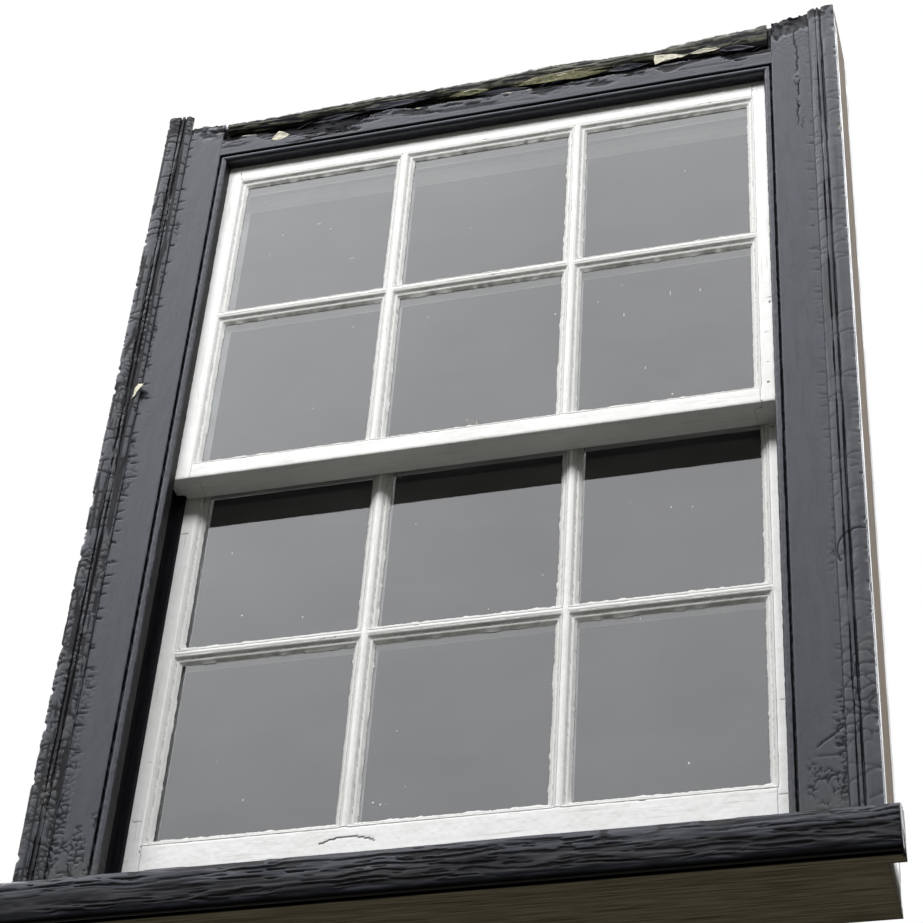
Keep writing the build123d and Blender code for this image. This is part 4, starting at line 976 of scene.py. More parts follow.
def weather_jamb(piece, side, seed):
    """Cracks that spread from the moulding, blocks of crazed paint near the foot, and painted shade in the
    broken quirk and on the bead's inner side.
    """
    settings = bpy.context.scene.window_frame_paint
    spread, heavy = (1.0, 1.0) if side < 0 else (0.8, 0.45)
    x, y, z = points_of(piece.data).T
    front = step(3 * MM, 1 * MM, y - LINING_FRONT)
    bead = step(1 * MM, -1 * MM, np.abs(x) - (OPENING_HALF + 2 * BEAD_RADIUS))
    from_moulding = np.abs(side * MOULDING_INNER - x)
    reach = (16 + 14 * noise(z / 60e-3, 0, 0, seed)) * MM * spread
    near = step(1.0, 0.25, from_moulding / np.maximum(reach, 4 * MM))
    lines = splits(z, x, 19 * MM, 1.5 * MM, seed)
    lines = np.maximum(lines, splits(z + 0.2 * x, x, 43 * MM, 2.2 * MM, seed + 21)) * near
    blocks, own = crazing(np.abs(x), z, settings.block_size, seed + 1, 1.3)
    area = crazed_area(x, z, side, near, from_moulding, seed)
    crack_and_shade = np.maximum(lines * heavy, blocks * area) * front * (1 - bead)
    # Painted shade in the bead's quirk and on its inner side
    crack_and_shade = np.maximum(crack_and_shade, bead_quirk_and_side_shade(x, y, z, seed))
    black = 0
    if side > 0:
        damage = right_damage(x, z, settings.block_size, seed) * front * (1 - bead)
        black = blackened_top(x, z, seed)
        crack_and_shade = largest(crack_and_shade, damage, black)
    rot = top_rot(x, z)
    fibres = rough(x / 9e-3, y / 9e-3, z / 5e-3, seed + 14)
    crack_and_shade = np.maximum(crack_and_shade, rot * step(-0.25, 0.2, fibres))
    relief = 0.35 * MM * rough(x / 18e-3, y / 18e-3, z / 55e-3, seed + 8)
    relief += 0.25 * MM * rough(x / 4e-3, y / 4e-3, z / 9e-3, seed + 10, 2) * (0.4 + area)
    relief += 0.3 * MM * (own - 0.5) * area - settings.crack_depth * crack_and_shade
    relief *= step(2 * MM, 12 * MM, LINING_BACK - y)
    relief += 0.5 * MM * bead * rough(x / 3e-3, y / 3e-3, z / 7e-3, seed + 12, 2)
    holes = step(-0.3, 0.5, rough(x / 7e-3, y / 7e-3, z / 5e-3, seed + 15))
    relief -= (2.2 * MM * rot * holes + 1.8 * MM * black) * front
    grime = 0.3 * step(0.05, 0.0, z - sill_top(y))
    weather(piece, relief, {"crack_and_shade": crack_and_shade, "bare": 0, "grime": grime})


def top_rot(x, z):
    """Share of rot close under the rotted top of the linings."""
    reach = (38 + 20 * noise(x / 16e-3, 0, 0, 171)) * MM
    return step(1.0, 0.3, (rotted_top(x) - z) / reach)


class SASHWINDOW_OT_jamb_linings(bpy.types.Operator):
    """Makes the painted outer linings of the jambs, with their bead and their cracks"""

    bl_idname = "sash_window.jamb_linings"
    bl_label = "Jamb linings"

    def execute(self, context):
        spacing = context.scene.window_frame_paint.cell
        for seed, (name, side) in enumerate(SIDES):
            piece = jamb_lining(name, side, spacing)
            weather_jamb(piece, side, 100 + 40 * seed)
            dress(piece, "window_frame", "frame_paint", f"outer_lining_{name}")
        return {"FINISHED"}


# Head

def head_lining_rings(spacing):
    """Rings of the head lining along X: intact face, three torn layers, the rotted recess and the top."""
    settings = bpy.context.scene.window_head
    count = int(2 * HEAD_HALF / spacing) + 1
    x = np.linspace(-HEAD_HALF, HEAD_HALF, count)
    seat = np.full(count, HEAD_EDGE + BEAD_WIDTH)
    layers = [torn_edge(x, layer) for layer in range(3)]
    top = rotted_top(x)
    for i in (1, 2):
        layers[i] = np.maximum(layers[i], layers[i - 1] + 0.4 * MM)
    layers = [np.minimum(edge, top - (4 - i) * MM) for i, edge in enumerate(layers)]
    depths = [LINING_FRONT + settings.rot_depth * share for share in (0, 0.38, 0.7, 1.0)]
    columns = []

    def run(z0, y0, z1, y1, steps):
        for t in np.arange(steps) / steps:
            columns.append((z0 + (z1 - z0) * t, np.full(count, 0.0) + y0 + (y1 - y0) * t))

    run(seat, LINING_BACK, seat, LINING_FRONT, 4)
    run(seat, LINING_FRONT, layers[0], LINING_FRONT, 18)
    for i in range(3):
        run(layers[i], depths[i], layers[i] - 0.8 * MM, depths[i + 1], 3)
        upper = layers[i + 1] if i < 2 else top
        run(layers[i] - 0.8 * MM, depths[i + 1], upper, depths[i + 1], 3 if i < 2 else 16)
    run(top, depths[3], top, LINING_BACK, 4)
    run(top, LINING_BACK, seat, LINING_BACK, 5)
    rings = np.empty((count, len(columns), 3))
    rings[:, :, 0] = x[:, None]
    for i, (z, y) in enumerate(columns):
        rings[:, i, 1], rings[:, i, 2] = y, z
    return rings


def head_bead_rings(spacing):
    """Rings of the bead under the head lining, mitred at both ends."""
    section = bead_section(2 * BEAD_RADIUS + 1.2 * MM)
    t = np.linspace(-1, 1, int(2 * HEAD_HALF / spacing) + 1)
    rings = np.empty((len(t), len(section), 3))
    for i, (away, y) in enumerate(section):
        rings[:, i, 0], rings[:, i, 1] = t * (OPENING_HALF + away), y
        rings[:, i, 2] = HEAD_EDGE + away
    return rings


def weather_head(piece):
    """Smooth paint low down, split and lifting layers by the torn edge, and painted shade in the rotted
    recess above it and in the quirk over the bead.
    """
    x, y, z = points_of(piece.data).T
    deep = y - LINING_FRONT
    edge = torn_edge(x, 0)
    below = edge - z
    in_recess = step(2.5 * MM, 5 * MM, deep) * step(-2 * MM, 1 * MM, z - edge + 4 * MM)
    front = step(2 * MM, 0.5 * MM, deep) * (z > HEAD_EDGE + BEAD_WIDTH)
    frayed = step(1.0, 0.0, below / (7 * MM + 4 * MM * noise(x / 40e-3, 0, 0, 63))) * front
    often = 0.5 - 0.17 * step(0.15, -0.1, x)
    spread = (17 + 9 * step(0.2, -0.2, x)) * MM
    slits = step(often, often + 0.2, rough(x / 24e-3, z / 2.6e-3, 0, 61, 2))
    slits *= step(1.0, 0.4, below / spread) * front
    seams = step(0.55, 0.7, noise(x / 60e-3, z / 3e-3, 0, 67)) * 0.7
    seams *= step(1.3, 0.6, below / (26 * MM)) * front
    fibres = rough(x / 22e-3, z / 2.2e-3, y / 2.2e-3, 71, 3)
    # Painted shade: the recess is near-black, darkest where the fibres sink, and the shade fades out over
    # its border among the slits and seams
    inside = np.clip(0.8 + 0.4 * step(0.3, -0.4, fibres), 0, 1)
    at_edge = slits + seams + in_recess * (0.9 * step(0.1, -0.35, fibres) + 0.55)
    crack_and_shade = np.where(in_recess > 0.5, inside, np.clip(at_edge, 0, 1))
    bare = in_recess * step(0.5, 0.7, rough(x / 30e-3, z / 3e-3, 0, 73, 2)) * 0.5
    bare = np.maximum(bare, frayed * step(0.45, 0.62, noise(x / 16e-3, z / 2e-3, 0, 79)) * 0.75)
    # Painted shade in the quirk over the bead
    over_edge = z - HEAD_EDGE
    quirk = step(9 * MM, 10 * MM, over_edge) * step(13.4 * MM, 12.6 * MM, over_edge)
    crack_and_shade = np.maximum(crack_and_shade, quirk * step(0.2 * MM, 1.2 * MM, deep) * step(9 * MM, 6 * MM, deep))
    eaten = step(1.0, 0.6, below / ((15 + 13 * noise(x / 0.045, 0, 0, 85)) * MM)) * front
    eaten *= step(0.0, 0.3, rough(x / 0.028, z / 5e-3, 0, 87, 3) + 0.12)
    crack_and_shade = np.maximum(crack_and_shade, eaten)
    relief = 0.3 * MM * rough(x / 50e-3, y / 14e-3, z / 14e-3, 81) - 1.6 * MM * eaten
    relief += 1.3 * MM * in_recess * fibres - 1.0 * MM * slits - 0.6 * MM * seams
    relief += frayed * 0.9 * MM * rough(x / 8e-3, z / 4e-3, 0, 83, 3)
    relief *= step(1 * MM, 5 * MM, LINING_BACK - y) * step(0, 4 * MM, HEAD_HALF - np.abs(x) + 2 * MM)
    weather(piece, relief, {"crack_and_shade": crack_and_shade, "bare": bare, "grime": in_recess * 0.5})


def remnant_rings(spacing):
    """Rings of the gnawed strip of the old head moulding."""
    lo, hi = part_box("architrave_head")
    count = int((hi.x - lo.x) / spacing) + 1
    x = np.linspace(lo.x, hi.x, count)
    seat = recess_depth()
    foot = lo.z + 5 * MM + 5.5 * MM * rough(x / 34e-3, 0, 0, 91, 4)
    top = np.minimum(rotted_top(x) - 4.2 * MM, hi.z)
    middle = (foot + top) / 2
    shape = [
        (foot, seat), (foot, LINING_FRONT + 7 * MM), (foot + 1 * MM, LINING_FRONT + 4.5 * MM),
        (foot * 0.7 + middle * 0.3, LINING_FRONT + 1 * MM), (middle, LINING_FRONT - 2 * MM),
        (middle * 0.5 + top * 0.5, LINING_FRONT - 2.4 * MM), (top, LINING_FRONT),
        (top, LINING_FRONT + 3 * MM), (top, seat),
    ]
    parts = 5
    rings = np.empty((count, len(shape) * parts, 3))
    for i, (z, y) in enumerate(shape):
        z_next, y_next = shape[(i + 1) % len(shape)]
        for k in range(parts):
            rings[:, parts * i + k, 2] = z + (z_next - z) * k / parts
            rings[:, parts * i + k, 1] = y + (y_next - y) * k / parts
    rings[:, :, 0] = x[:, None]
    return rings


def recess_depth():
    """Depth of the rotted face that the remnant and the splinters sit on."""
    return LINING_FRONT + bpy.context.scene.window_head.rot_depth


def weather_remnant(piece):
    """Fibres and fine grain along the gnawed strip, painted shadow along its foot, with bare wood in places.
    """
    x, y, z = points_of(piece.data).T
    fibres = rough(x / 26e-3, z / 2.6e-3, y / 2.6e-3, 93, 3)
    fine = rough(x / 30e-3, z / 1.7e-3, y / 1.7e-3, 94, 3)
    front = step(1 * MM, 4 * MM, recess_depth() - y)
    over_foot = z - low("architrave_head").z - 3 * MM * noise(x / 0.02, 0, 0, 97)
    crack_and_shade = 0.1 + 0.9 * step(0.05, -0.35, fibres) + 0.7 * step(0.1, -0.3, fine)
    # Painted shadow along the foot of the strip, over the recess
    crack_and_shade = np.clip(crack_and_shade + 0.9 * step(9 * MM, 2 * MM, over_foot), 0, 1)
    bare = step(0.45, 0.7, rough(x / 32e-3, z / 4e-3, 0, 95, 2)) * 0.5
    relief = (1.5 * MM * fibres + 0.8 * MM * fine) * front
    weather(piece, relief, {"crack_and_shade": crack_and_shade, "bare": bare, "grime": 0.7})


def scatter_tree(name, inputs, primitive, sockets, turns, sizes, material):
    """Node tree that scatters copies of a primitive over faces, each turned and sized by chance.

    Named numbers are the tree's inputs. A socket of the primitive takes one of them, by its name,
    or a value; turns and sizes are the least and the most, as vectors."""
    tree = bpy.data.node_groups.new(name, "GeometryNodeTree")
    tree.interface.new_socket("Geometry", in_out="INPUT", socket_type="NodeSocketGeometry")
    for label, value in inputs.items():
        kind = "NodeSocketInt" if isinstance(value, int) else "NodeSocketFloat"
        tree.interface.new_socket(label, in_out="INPUT", socket_type=kind)
    tree.interface.new_socket("Geometry", in_out="OUTPUT", socket_type="NodeSocketGeometry")
    source = add(tree, "NodeGroupInput").outputs
    points = add(
        tree, "GeometryNodeDistributePointsOnFaces",
        {"Mesh": source["Geometry"], "Density": source["Density"], "Seed": source["Seed"]},
    )
    filled = {key: source[value] if value in inputs else value for key, value in sockets.items()}
    shape = add(tree, primitive, filled)
    placing = {"Points": points.outputs["Points"], "Instance": shape.outputs["Mesh"]}
    for socket, limits in (("Rotation", turns), ("Scale", sizes)):
        if limits:
            least, most = limits
            chance = {0: least, 1: most, "Seed": source["Seed"]}
            drawn = add(tree, "FunctionNodeRandomValue", chance, data_type="FLOAT_VECTOR")
            placing[socket] = drawn.outputs[0]
    placed = add(tree, "GeometryNodeInstanceOnPoints", placing)
    real = add(tree, "GeometryNodeRealizeInstances", {"Geometry": placed.outputs[0]})
    coated = add(tree, "GeometryNodeSetMaterial", {"Geometry": real.outputs[0], "Material": material})
    add(tree, "NodeGroupOutput", {"Geometry": coated.outputs[0]})
    return tree


def grown(name, carrier, tree, inputs):
    """Runs a tree with these inputs on a carrier mesh and gives the result as a plain mesh object."""
    source = linked(name + "_carrier", carrier)
    modifier = source.modifiers.new("grow", "NODES")
    modifier.node_group = tree
    for socket in tree.interface.items_tree:
        if socket.in_out == "INPUT" and socket.name in inputs:
            modifier[socket.identifier] = inputs[socket.name]
    return linked(name, baked(source, name))


def strip_mesh(name, x, low_edge, high_edge, y):
    """Upright strip of faces between two ragged heights, facing the street."""
    count = len(x)
    vertices = [(px, y, z) for edge in (low_edge, high_edge) for px, z in zip(x, edge)]
    faces = [(i, i + 1, count + i + 1, count + i) for i in range(count - 1)]
    mesh = bpy.data.meshes.new(name)
    mesh.from_pydata(vertices, [], faces)
    return mesh


def flake(name, centre, width, height, tilt, curl, wedge, seed, material):
    """A curled flake of old paint: a thin ragged sheet, wedge-shaped or long with two points."""
    across, along = 25, 9
    u, v = np.meshgrid(np.linspace(-1, 1, across), np.linspace(-1, 1, along), indexing="ij")
    ragged = 1 + 0.16 * noise(u * 3.1, v * 1.3, 0, seed)
    taper = np.clip(0.5 - 0.5 * u, 0.04, 1) if wedge else np.clip(1 - np.abs(u) ** 1.7, 0.03, 1)
    x = u * width / 2 * (1 + 0.05 * noise(v * 3, 0, 0, seed + 1))
    z = v * height / 2 * taper * ragged + 0.12 * height * noise(u * 2, 0, 0, seed + 2)
    lift = curl * (0.2 + 0.8 * (0.5 + 0.5 * v) ** 2 * taper) + 0.2 * curl * noise(u * 3, v * 2, 0, seed + 3)
    turned_x = x * math.cos(tilt) - z * math.sin(tilt)
    turned_z = x * math.sin(tilt) + z * math.cos(tilt)
    outer = np.stack([centre[0] + turned_x, centre[1] - lift, centre[2] + turned_z], -1).reshape(-1, 3)
    inner = outer + np.array([0, 0.5 * MM, 0])
    total = across * along
    index = np.arange(total).reshape(across, along)
    quads = np.stack([index[:-1, :-1], index[1:, :-1], index[1:, 1:], index[:-1, 1:]], -1).reshape(-1, 4)
    rim = np.concatenate([index[:, 0], index[-1, 1:], index[-2::-1, -1], index[0, -2:0:-1]]).tolist()
    faces = quads.tolist() + (quads[:, ::-1] + total).tolist()
    faces += [[a, b, b + total, a + total] for a, b in zip(rim, rim[1:] + rim[:1])]
    return make_object(name, np.concatenate([outer, inner]), faces, material)


# Flakes: place (x, z) in metres, width, height, tilt in radians, curl, wedge or not, finish; the
# rest in millimetres. Each one's random draws follow its place in the list.

FLAKES = [
    ("flake_cream_right", (0.284, 1.402), 54, 17, 0.0, 4.5, True, "cream"),
    ("flake_cream_left", (-0.335, 1.372), 30, 15, 0.2, 4.5, False, "cream"),
    ("flake_cream_end", (0.334, 1.405), 46, 6, 0.05, 3.5, False, "cream"),
    ("sliver_olive_middle", (0.113, 1.399), 158, 13, 0.0, 5.0, False, "olive"),
    ("sliver_pale_middle", (0.118, 1.405), 150, 4.5, 0.01, 6.5, False, "cream"),
    ("sliver_olive_left", (-0.032, 1.399), 66, 8, 0.0, 4.0, False, "olive"),
    ("sliver_pale_left", (-0.028, 1.402), 52, 3, 0.02, 5.0, False, "cream"),
    ("sliver_dark_1", (0.215, 1.396), 70, 8, 0.05, 4.5, False, "frame_x"),
    ("sliver_dark_2", (0.020, 1.391), 90, 7, -0.02, 4.0, False, "frame_x"),
    ("sliver_dark_3", (-0.150, 1.402), 110, 9, 0.03, 4.0, False, "frame_x"),
    ("sliver_dark_4", (-0.245, 1.394), 80, 8, 0.08, 3.6, False, "frame_x"),
    ("sliver_dark_5", (0.380, 1.398), 60, 9, -0.10, 4.0, False, "frame_x"),
    ("curl_jamb_1", (0.4685, 1.310), 34, 9, 1.5, 4.0, False, "frame_x"),
    ("curl_jamb_2", (0.4713, 1.261), 30, 8, 1.62, 4.0, False, "frame_x"),
    ("curl_jamb_3", (0.4745, 1.213), 26, 7, 1.45, 3.4, False, "frame_x"),
    ("curl_jamb_4", (-0.491, 0.864), 30, 13, -2.0, 4.4, True, "cream"),
]
FLAKE_ON_LINING, FLAKE_ON_MOULDING = 0.8 * MM, -6.5 * MM  # how deep a flake sits, from the lining's face


class SASHWINDOW_OT_head(bpy.types.Operator):
    """Makes the head lining with its torn layers, the gnawed moulding, splinters and flakes"""

    bl_idname = "sash_window.head"
    bl_label = "Rotted head"

    def execute(self, context):
        spacing = context.scene.window_frame_paint.cell
        shells = [sweep(head_lining_rings(spacing)), sweep(head_bead_rings(spacing))]
        lining = make_object("painted_head_lining", *join_shells(shells), finish("frame_x"))
        weather_head(lining)
        dress(lining, "window_frame", "frame_paint", "outer_lining_head")

        remnant = make_object("gnawed_head_moulding", *sweep(remnant_rings(spacing)), finish("frame_x"))
        weather_remnant(remnant)
        dress(remnant, "window_frame", "frame_paint", "architrave_head")

        x = np.linspace(-HEAD_HALF + 12 * MM, HEAD_HALF - 12 * MM, 90)
        area = 2 * HEAD_HALF * 26 * MM
        inputs = {
            "Density": context.scene.window_head.splinters / area, "Thickness": 1.3 * MM,
            "Length": 34 * MM, "Seed": 6,
        }
        tree = scatter_tree(
            "splinters", inputs, "GeometryNodeMeshCone",
            {
                "Vertices": 5, "Side Segments": 3, "Radius Top": 0.0, "Radius Bottom": "Thickness",
                "Depth": "Length",
            },
            ((-0.10, math.radians(78), -0.35), (0.10, math.radians(102), 0.35)),
            ((0.5, 0.35, 0.4), (1.4, 1.0, 1.6)),
            finish("frame_x"),
        )
        carrier = strip_mesh(
            "strip", x, torn_edge(x, 0) + 1 * MM, rotted_top(x) - 7 * MM, recess_depth() - 1.5 * MM
        )
        dress(grown("rotted_splinters", carrier, tree, inputs), "window_frame", "frame_paint")

        for seed, (name, (x, z), width, height, tilt, curl, wedge, coating) in enumerate(FLAKES):
            depth = FLAKE_ON_LINING if abs(x) < MOULDING_INNER else FLAKE_ON_MOULDING
            piece = flake(
                name, (x, LINING_FRONT + depth, z), width * MM, height * MM, tilt, curl * MM, wedge,
                seed, finish(coating),
            )
            dress(piece, "window_frame", "frame_paint")
        return {"FINISHED"}


# Mouldings of the jambs

def moulding_profile(side):
    """Section of the planted moulding as (x, y): ovolo, quirk, reed, quirk and broad torus."""
    def at(distance, height):
        return (side * (MOULDING_INNER + distance * MM), LINING_FRONT - height * MM)

    points = [at(11 * (1 - math.cos(a)), 7.5 * math.sin(a)) for a in np.linspace(0, math.pi / 2, 12)]
    points += [at(11.3, 5.6), at(11.6, 4), at(12.6, 4)]
    points += [at(15.5 - 2.5 * math.cos(a), 6.5 + 2.5 * math.sin(a)) for a in np.linspace(0, math.pi, 9)]
    points += [at(18.4, 4), at(19.6, 4), at(20, 5.4)]
    points += [at(30 - 10 * math.cos(a), 6.5 + 3.5 * math.sin(a)) for a in np.linspace(0, math.pi, 17)]
    points += [at(40, 4.3), at(40, 2.1), at(40, 0), at(30, 0), at(20, 0), at(10, 0)]
    return points


def weather_moulding(piece, side, seed):
    """Alligatored paint with cracks and a notched outer edge, heavy on the left jamb, light on the right."""
    settings = bpy.context.scene.window_frame_paint
    left = side < 0
    heavy, block_share, spacing, lines_share, wavering = (
        (1.0, 1.3, 15, 0.75, 1.3) if left else (0.4, 1.7, 46, 0.61, 0.4)
    )
    x, y, z = points_of(piece.data).T
    proud = LINING_FRONT - y
    from_inner = np.abs(x) - MOULDING_INNER
    across = from_inner + 0.6 * proud
    front = step(0.4 * MM, 2.5 * MM, proud)
    mask = (0.2 + 0.8 * step(-0.15, 0.4, noise(z / 0.07, across / 0.02, 0, seed))) * heavy
    blocks, own = crazing(across, z, settings.block_size * block_share, seed, 1.5)
    lines = splits(z + 0.25 * across, across, spacing * MM, 2.1 * MM, seed + 2)
    lines = np.maximum(lines, splits(z - 0.3 * across, across, 33 * MM, 2.8 * MM, seed + 3))
    grooves = step(0.15, 0.5, noise(across / 5.2e-3, z / 0.11, 0, seed + 12)) * (0.3 + 0.5 * heavy)
    crack_and_shade = largest(blocks * mask * 0.9, lines * lines_share, grooves)
    if left:
        torn = step(0.08, 0.4, rough(across / 3.4e-3, z / 0.035, 0, seed + 17, 3))
        torn *= step(-0.25, 0.1, noise(z / 0.08, across / 0.03, 0, seed + 18))
        crack_and_shade = np.maximum(crack_and_shade, torn)
    else:
        crazed = step(0.31, 0.26, z) * step(0.13, 0.18, z)
        crack_and_shade = np.maximum(crack_and_shade * 0.6, 0.6 * blocks * crazed)
        curve_x, curve_z = CURVED_CRACK
        from_curve = np.abs(np.hypot(x - curve_x, z - curve_z) - CURVED_CRACK_RADIUS)
        crack_and_shade = np.maximum(crack_and_shade, step(1.6 * MM, 0.6 * MM, from_curve) * (z > 0.415))
    # Painted shade in the two quirks, patchy along them and broken where they are filled
    inwards = from_inner + wavering * MM * rough(z / 0.016, 0, 0, seed + 16, 3)
    quirks = np.maximum(*(step(1.5 * MM, 0.5 * MM, np.abs(inwards - at * MM)) for at in (12.1, 19)))
    quirks *= step(8.5 * MM, 5 * MM, proud)
    worn = 0.55 + 0.45 * step(-0.3, 0.3, noise(z / 0.03, across / 0.006, 0, seed + 13))
    filled = step(-0.15, 0.35, noise(z / 0.05, across / 0.03, 0, seed + 15))
    crack_and_shade = np.maximum(crack_and_shade, quirks * (1.9 * worn - 0.9) * (1 - 0.6 * filled))
    fibres = rough(x / 8e-3, y / 8e-3, z / 6e-3, seed + 14)
    inner_edge = np.full(len(x), side * MOULDING_INNER)
    crack_and_shade = np.maximum(crack_and_shade, top_rot(inner_edge, z) * step(-0.3, 0.2, fibres))
    notch = step(0.25, 0.6, rough(z / 13e-3, 0, 0, seed + 4, 3)) * step(7 * MM, 0, FRAME_HALF - np.abs(x))
    relief = 0.6 * MM * rough(x / 9e-3, y / 9e-3, z / 26e-3, seed + 6) * (0.6 + mask)
    relief += 0.55 * MM * (own - 0.5) * mask + 2.4 * MM * quirks * filled
    relief -= settings.crack_depth * crack_and_shade + 3.4 * MM * notch * heavy
    bare = step(0.5, 0.7, noise(z / 15e-3, across / 5e-3, 0, seed + 8)) * notch * 0.8
    marks = {"crack_and_shade": crack_and_shade * front, "bare": bare, "grime": 0.25 * mask * own}
    weather(piece, relief * front, marks)


class SASHWINDOW_OT_mouldings(bpy.types.Operator):
    """Makes the mouldings planted on the jambs"""

    bl_idname = "sash_window.mouldings"
    bl_label = "Jamb mouldings"

    def execute(self, context):
        spacing = context.scene.window_frame_paint.cell
        for seed, (name, side) in enumerate(SIDES):
            profile = moulding_profile(side)
            x, y = np.array(profile).T
            top = FRAME_TOP - 1.5 * MM * (1 + rough(x / 6e-3, y / 6e-3, 0, 7, 2))
            rings = board_rings(profile, top, spacing)
            piece = make_object(f"painted_architrave_{name}", *sweep(rings), finish("frame_z"))
            weather_moulding(piece, side, 300 + 50 * seed)
            dress(piece, "window_frame", "frame_paint", f"architrave_{name}")
        return {"FINISHED"}


# Sill

def sill_section(spacing):
    """Section of the nose of the sill in front of the linings, as (y, z)."""
    top, bottom = 14 * MM, 12 * MM
    back = LINING_FRONT
    reach = top * math.tan((math.pi / 2 - SILL_SLOPE) / 2)
    centre_y, centre_z = SILL_NOSE + top, NOSE_HEIGHT - reach
    tangent = (SILL_NOSE + reach * math.cos(SILL_SLOPE), NOSE_HEIGHT + reach * math.sin(SILL_SLOPE))
    points = walk([(back, sill_top(back), None), (*tangent, None)], spacing)
    points += arc(centre_y, centre_z, top, math.pi / 2 + SILL_SLOPE, math.pi, spacing)
    points += walk([(SILL_NOSE, centre_z, None), (SILL_NOSE, bottom, None)], spacing)
    points += arc(SILL_NOSE + bottom, bottom, bottom, math.pi, 3 * math.pi / 2, spacing)
    groove = SILL_NOSE + 18 * MM
    points += walk(
        [
            (SILL_NOSE + bottom, 0, None), (groove - 3.5 * MM, 0, None), (groove - 3.5 * MM, 5 * MM, None),
            (groove + 3.5 * MM, 5 * MM, None), (groove + 3.5 * MM, 0, None), (back, 0, 8 * MM),
            (back, sill_top(back), None),
        ],
        3 * MM,
    )
    return points


def sill_seat(spacing):
    """Section of the sill behind the front of the linings, as (y, z)."""
    front, level = float(sill_top(LINING_FRONT)), float(sill_top(BOX_BACK))
    return walk(
        [
            (LINING_FRONT, 0, 20 * MM), (LINING_FRONT, front, 4 * MM), (BOX_BACK, level, 8 * MM),
            (FRAME_BACK, level, 20 * MM), (FRAME_BACK, 0, 30 * MM), (LINING_FRONT, 0, 30 * MM),
        ],
        spacing,
    )


def weather_sill(piece):
    """Deep ridges of weathered grain along the sill, worn paint on its face, painted shade that darkens its
    nose, most low down, and rot at its horns.
    """
    settings = bpy.context.scene.window_sill
    spacing = settings.grain_spacing
    x, y, z = points_of(piece.data).T
    around = np.where(z > 45 * MM, (y - SILL_NOSE), 0) + (NOSE_HEIGHT - z)
    drifted = around + 0.9 * spacing * noise(x / 0.05, around / 0.02, 0, 199)
    grain = rough(x / 0.09, drifted / spacing, y / 0.02, 201, 3)
    cluster = step(-0.25, 0.35, noise(x / 0.10, around / 0.016, 0, 203) + 0.6 * step(0.26, 0.36, x))
    often = 0.50 - 0.24 * cluster
    furrow = step(often, often + 0.14, noise(x / 0.07, drifted / (0.8 * spacing), 0, 205))
    fine = step(0.38, 0.52, noise(x / 0.022, drifted / (0.45 * spacing), 0, 206)) * (0.3 + 0.7 * cluster)
    furrow = np.maximum(furrow, fine)
    nose = step(14 * MM, 2 * MM, y - SILL_NOSE)
    upper = step(2 * MM, 10 * MM, z)
    lens_x, lens_down = SILL_LENS
    lens = np.hypot((x - lens_x) / 0.034, (around - lens_down) / 0.0085)
    inside = step(0.95, 0.85, lens)
    crack_and_shade = furrow * (0.55 + 0.45 * nose) * upper
    crack_and_shade = crack_and_shade * (1 - 0.8 * inside) + step(0.2, 0.05, np.abs(lens - 1.0))
    # Painted shade: the nose face darker all over, and darker still on its lower part
    shadow = step(36 * MM, 22 * MM, z + 6 * MM * noise(x / 0.05, z / 0.01, 0, 219))
    crack_and_shade = np.maximum(crack_and_shade, (0.34 + 0.46 * shadow) * nose * upper)
    end = step(8 * MM, 0, SILL_HALF - np.abs(x))
    crack_and_shade = np.maximum(crack_and_shade, end * step(0.1, 0.5, noise(y / 3e-3, z / 3e-3, 0, 213)))
    share = (0.35 + 0.65 * nose) * (1 - 0.7 * inside) * (0.35 + 0.65 * cluster)
    relief = settings.grain_depth * (0.45 * grain - 0.8 * furrow) * upper * share
    relief += (2.2 * MM * rough(x / 0.06, z / 0.018, 0, 217) - 1.5 * MM) * nose
    relief *= step(0, 5 * MM, z) * step(0, 3 * MM, LINING_FRONT - y)
    shed = step(0.74, 0.84, noise(x / 0.05, around / 0.012, 0, 211)) * upper * step(0.045, 0.06, z) * 0.6
    under = step(1.5 * MM, 0.5 * MM, z) * step(20 * MM, 26 * MM, y - SILL_NOSE)
    marks = {"crack_and_shade": np.clip(crack_and_shade, 0, 1), "bare": np.maximum(shed, under), "grime": under * 0.15}
    weather(piece, relief, marks)


class SASHWINDOW_OT_sill(bpy.types.Operator):
    """Makes the sill: the eroded nose and the top under the sash"""

    bl_idname = "sash_window.sill"
    bl_label = "Sill"

    def execute(self, context):
        spacing = context.scene.window_frame_paint.cell
        nose = along_x(sill_section(0.6 * spacing), SILL_HALF, 1.3 * spacing)
        seat = along_x(sill_seat(spacing), FRAME_HALF, 3 * spacing)
        piece = make_object("weathered_sill", *join_shells([sweep(nose), sweep(seat)]), finish("frame_x"))
        weather_sill(piece)
        dress(piece, "window_frame", "frame_paint", "sill")
        return {"FINISHED"}


# Sashes

def sash_plan(sash):
    """Sight lines, bars and panes of a sash, read from the fixed frame."""
    glass_low, glass_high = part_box(f"{sash}_glass")
    front = low(f"{sash}_stile_left").y
    rebate = 10 * MM
    edge = 1.5 * MM
    glazed_half = glass_high.x - rebate + edge
    sight, glass_top = glass_low.z + rebate - edge, glass_high.z - rebate + edge
    bar = high(f"{sash}_bars_cross").z - low(f"{sash}_bars_cross").z
    pane_width = (2 * glazed_half - 2 * bar) / 3
    pane_height = (glass_top - sight - bar) / 2
    centres = [
        ((i - 1) * (pane_width + bar), sight + pane_height / 2 + j * (pane_height + bar))
        for i in range(3)
        for j in range(2)
    ]
    return {
        "front": front, "glazed_half": glazed_half, "sight": sight, "glass_top": glass_top, "bar": bar,
        "rebate": rebate, "pane": (pane_width, pane_height), "centres": centres,
        "glass_front": glass_low.y, "glass_back": glass_high.y,
    }


TIMBERS = {
    sash: [f"{sash}_{part}" for part in ("stile_left", "stile_right", *rails, "bars_upright", "bars_cross")]
    for sash, rails in (("upper", ("top_rail", "meeting_rail")), ("lower", ("meeting_rail", "bottom_rail")))
}


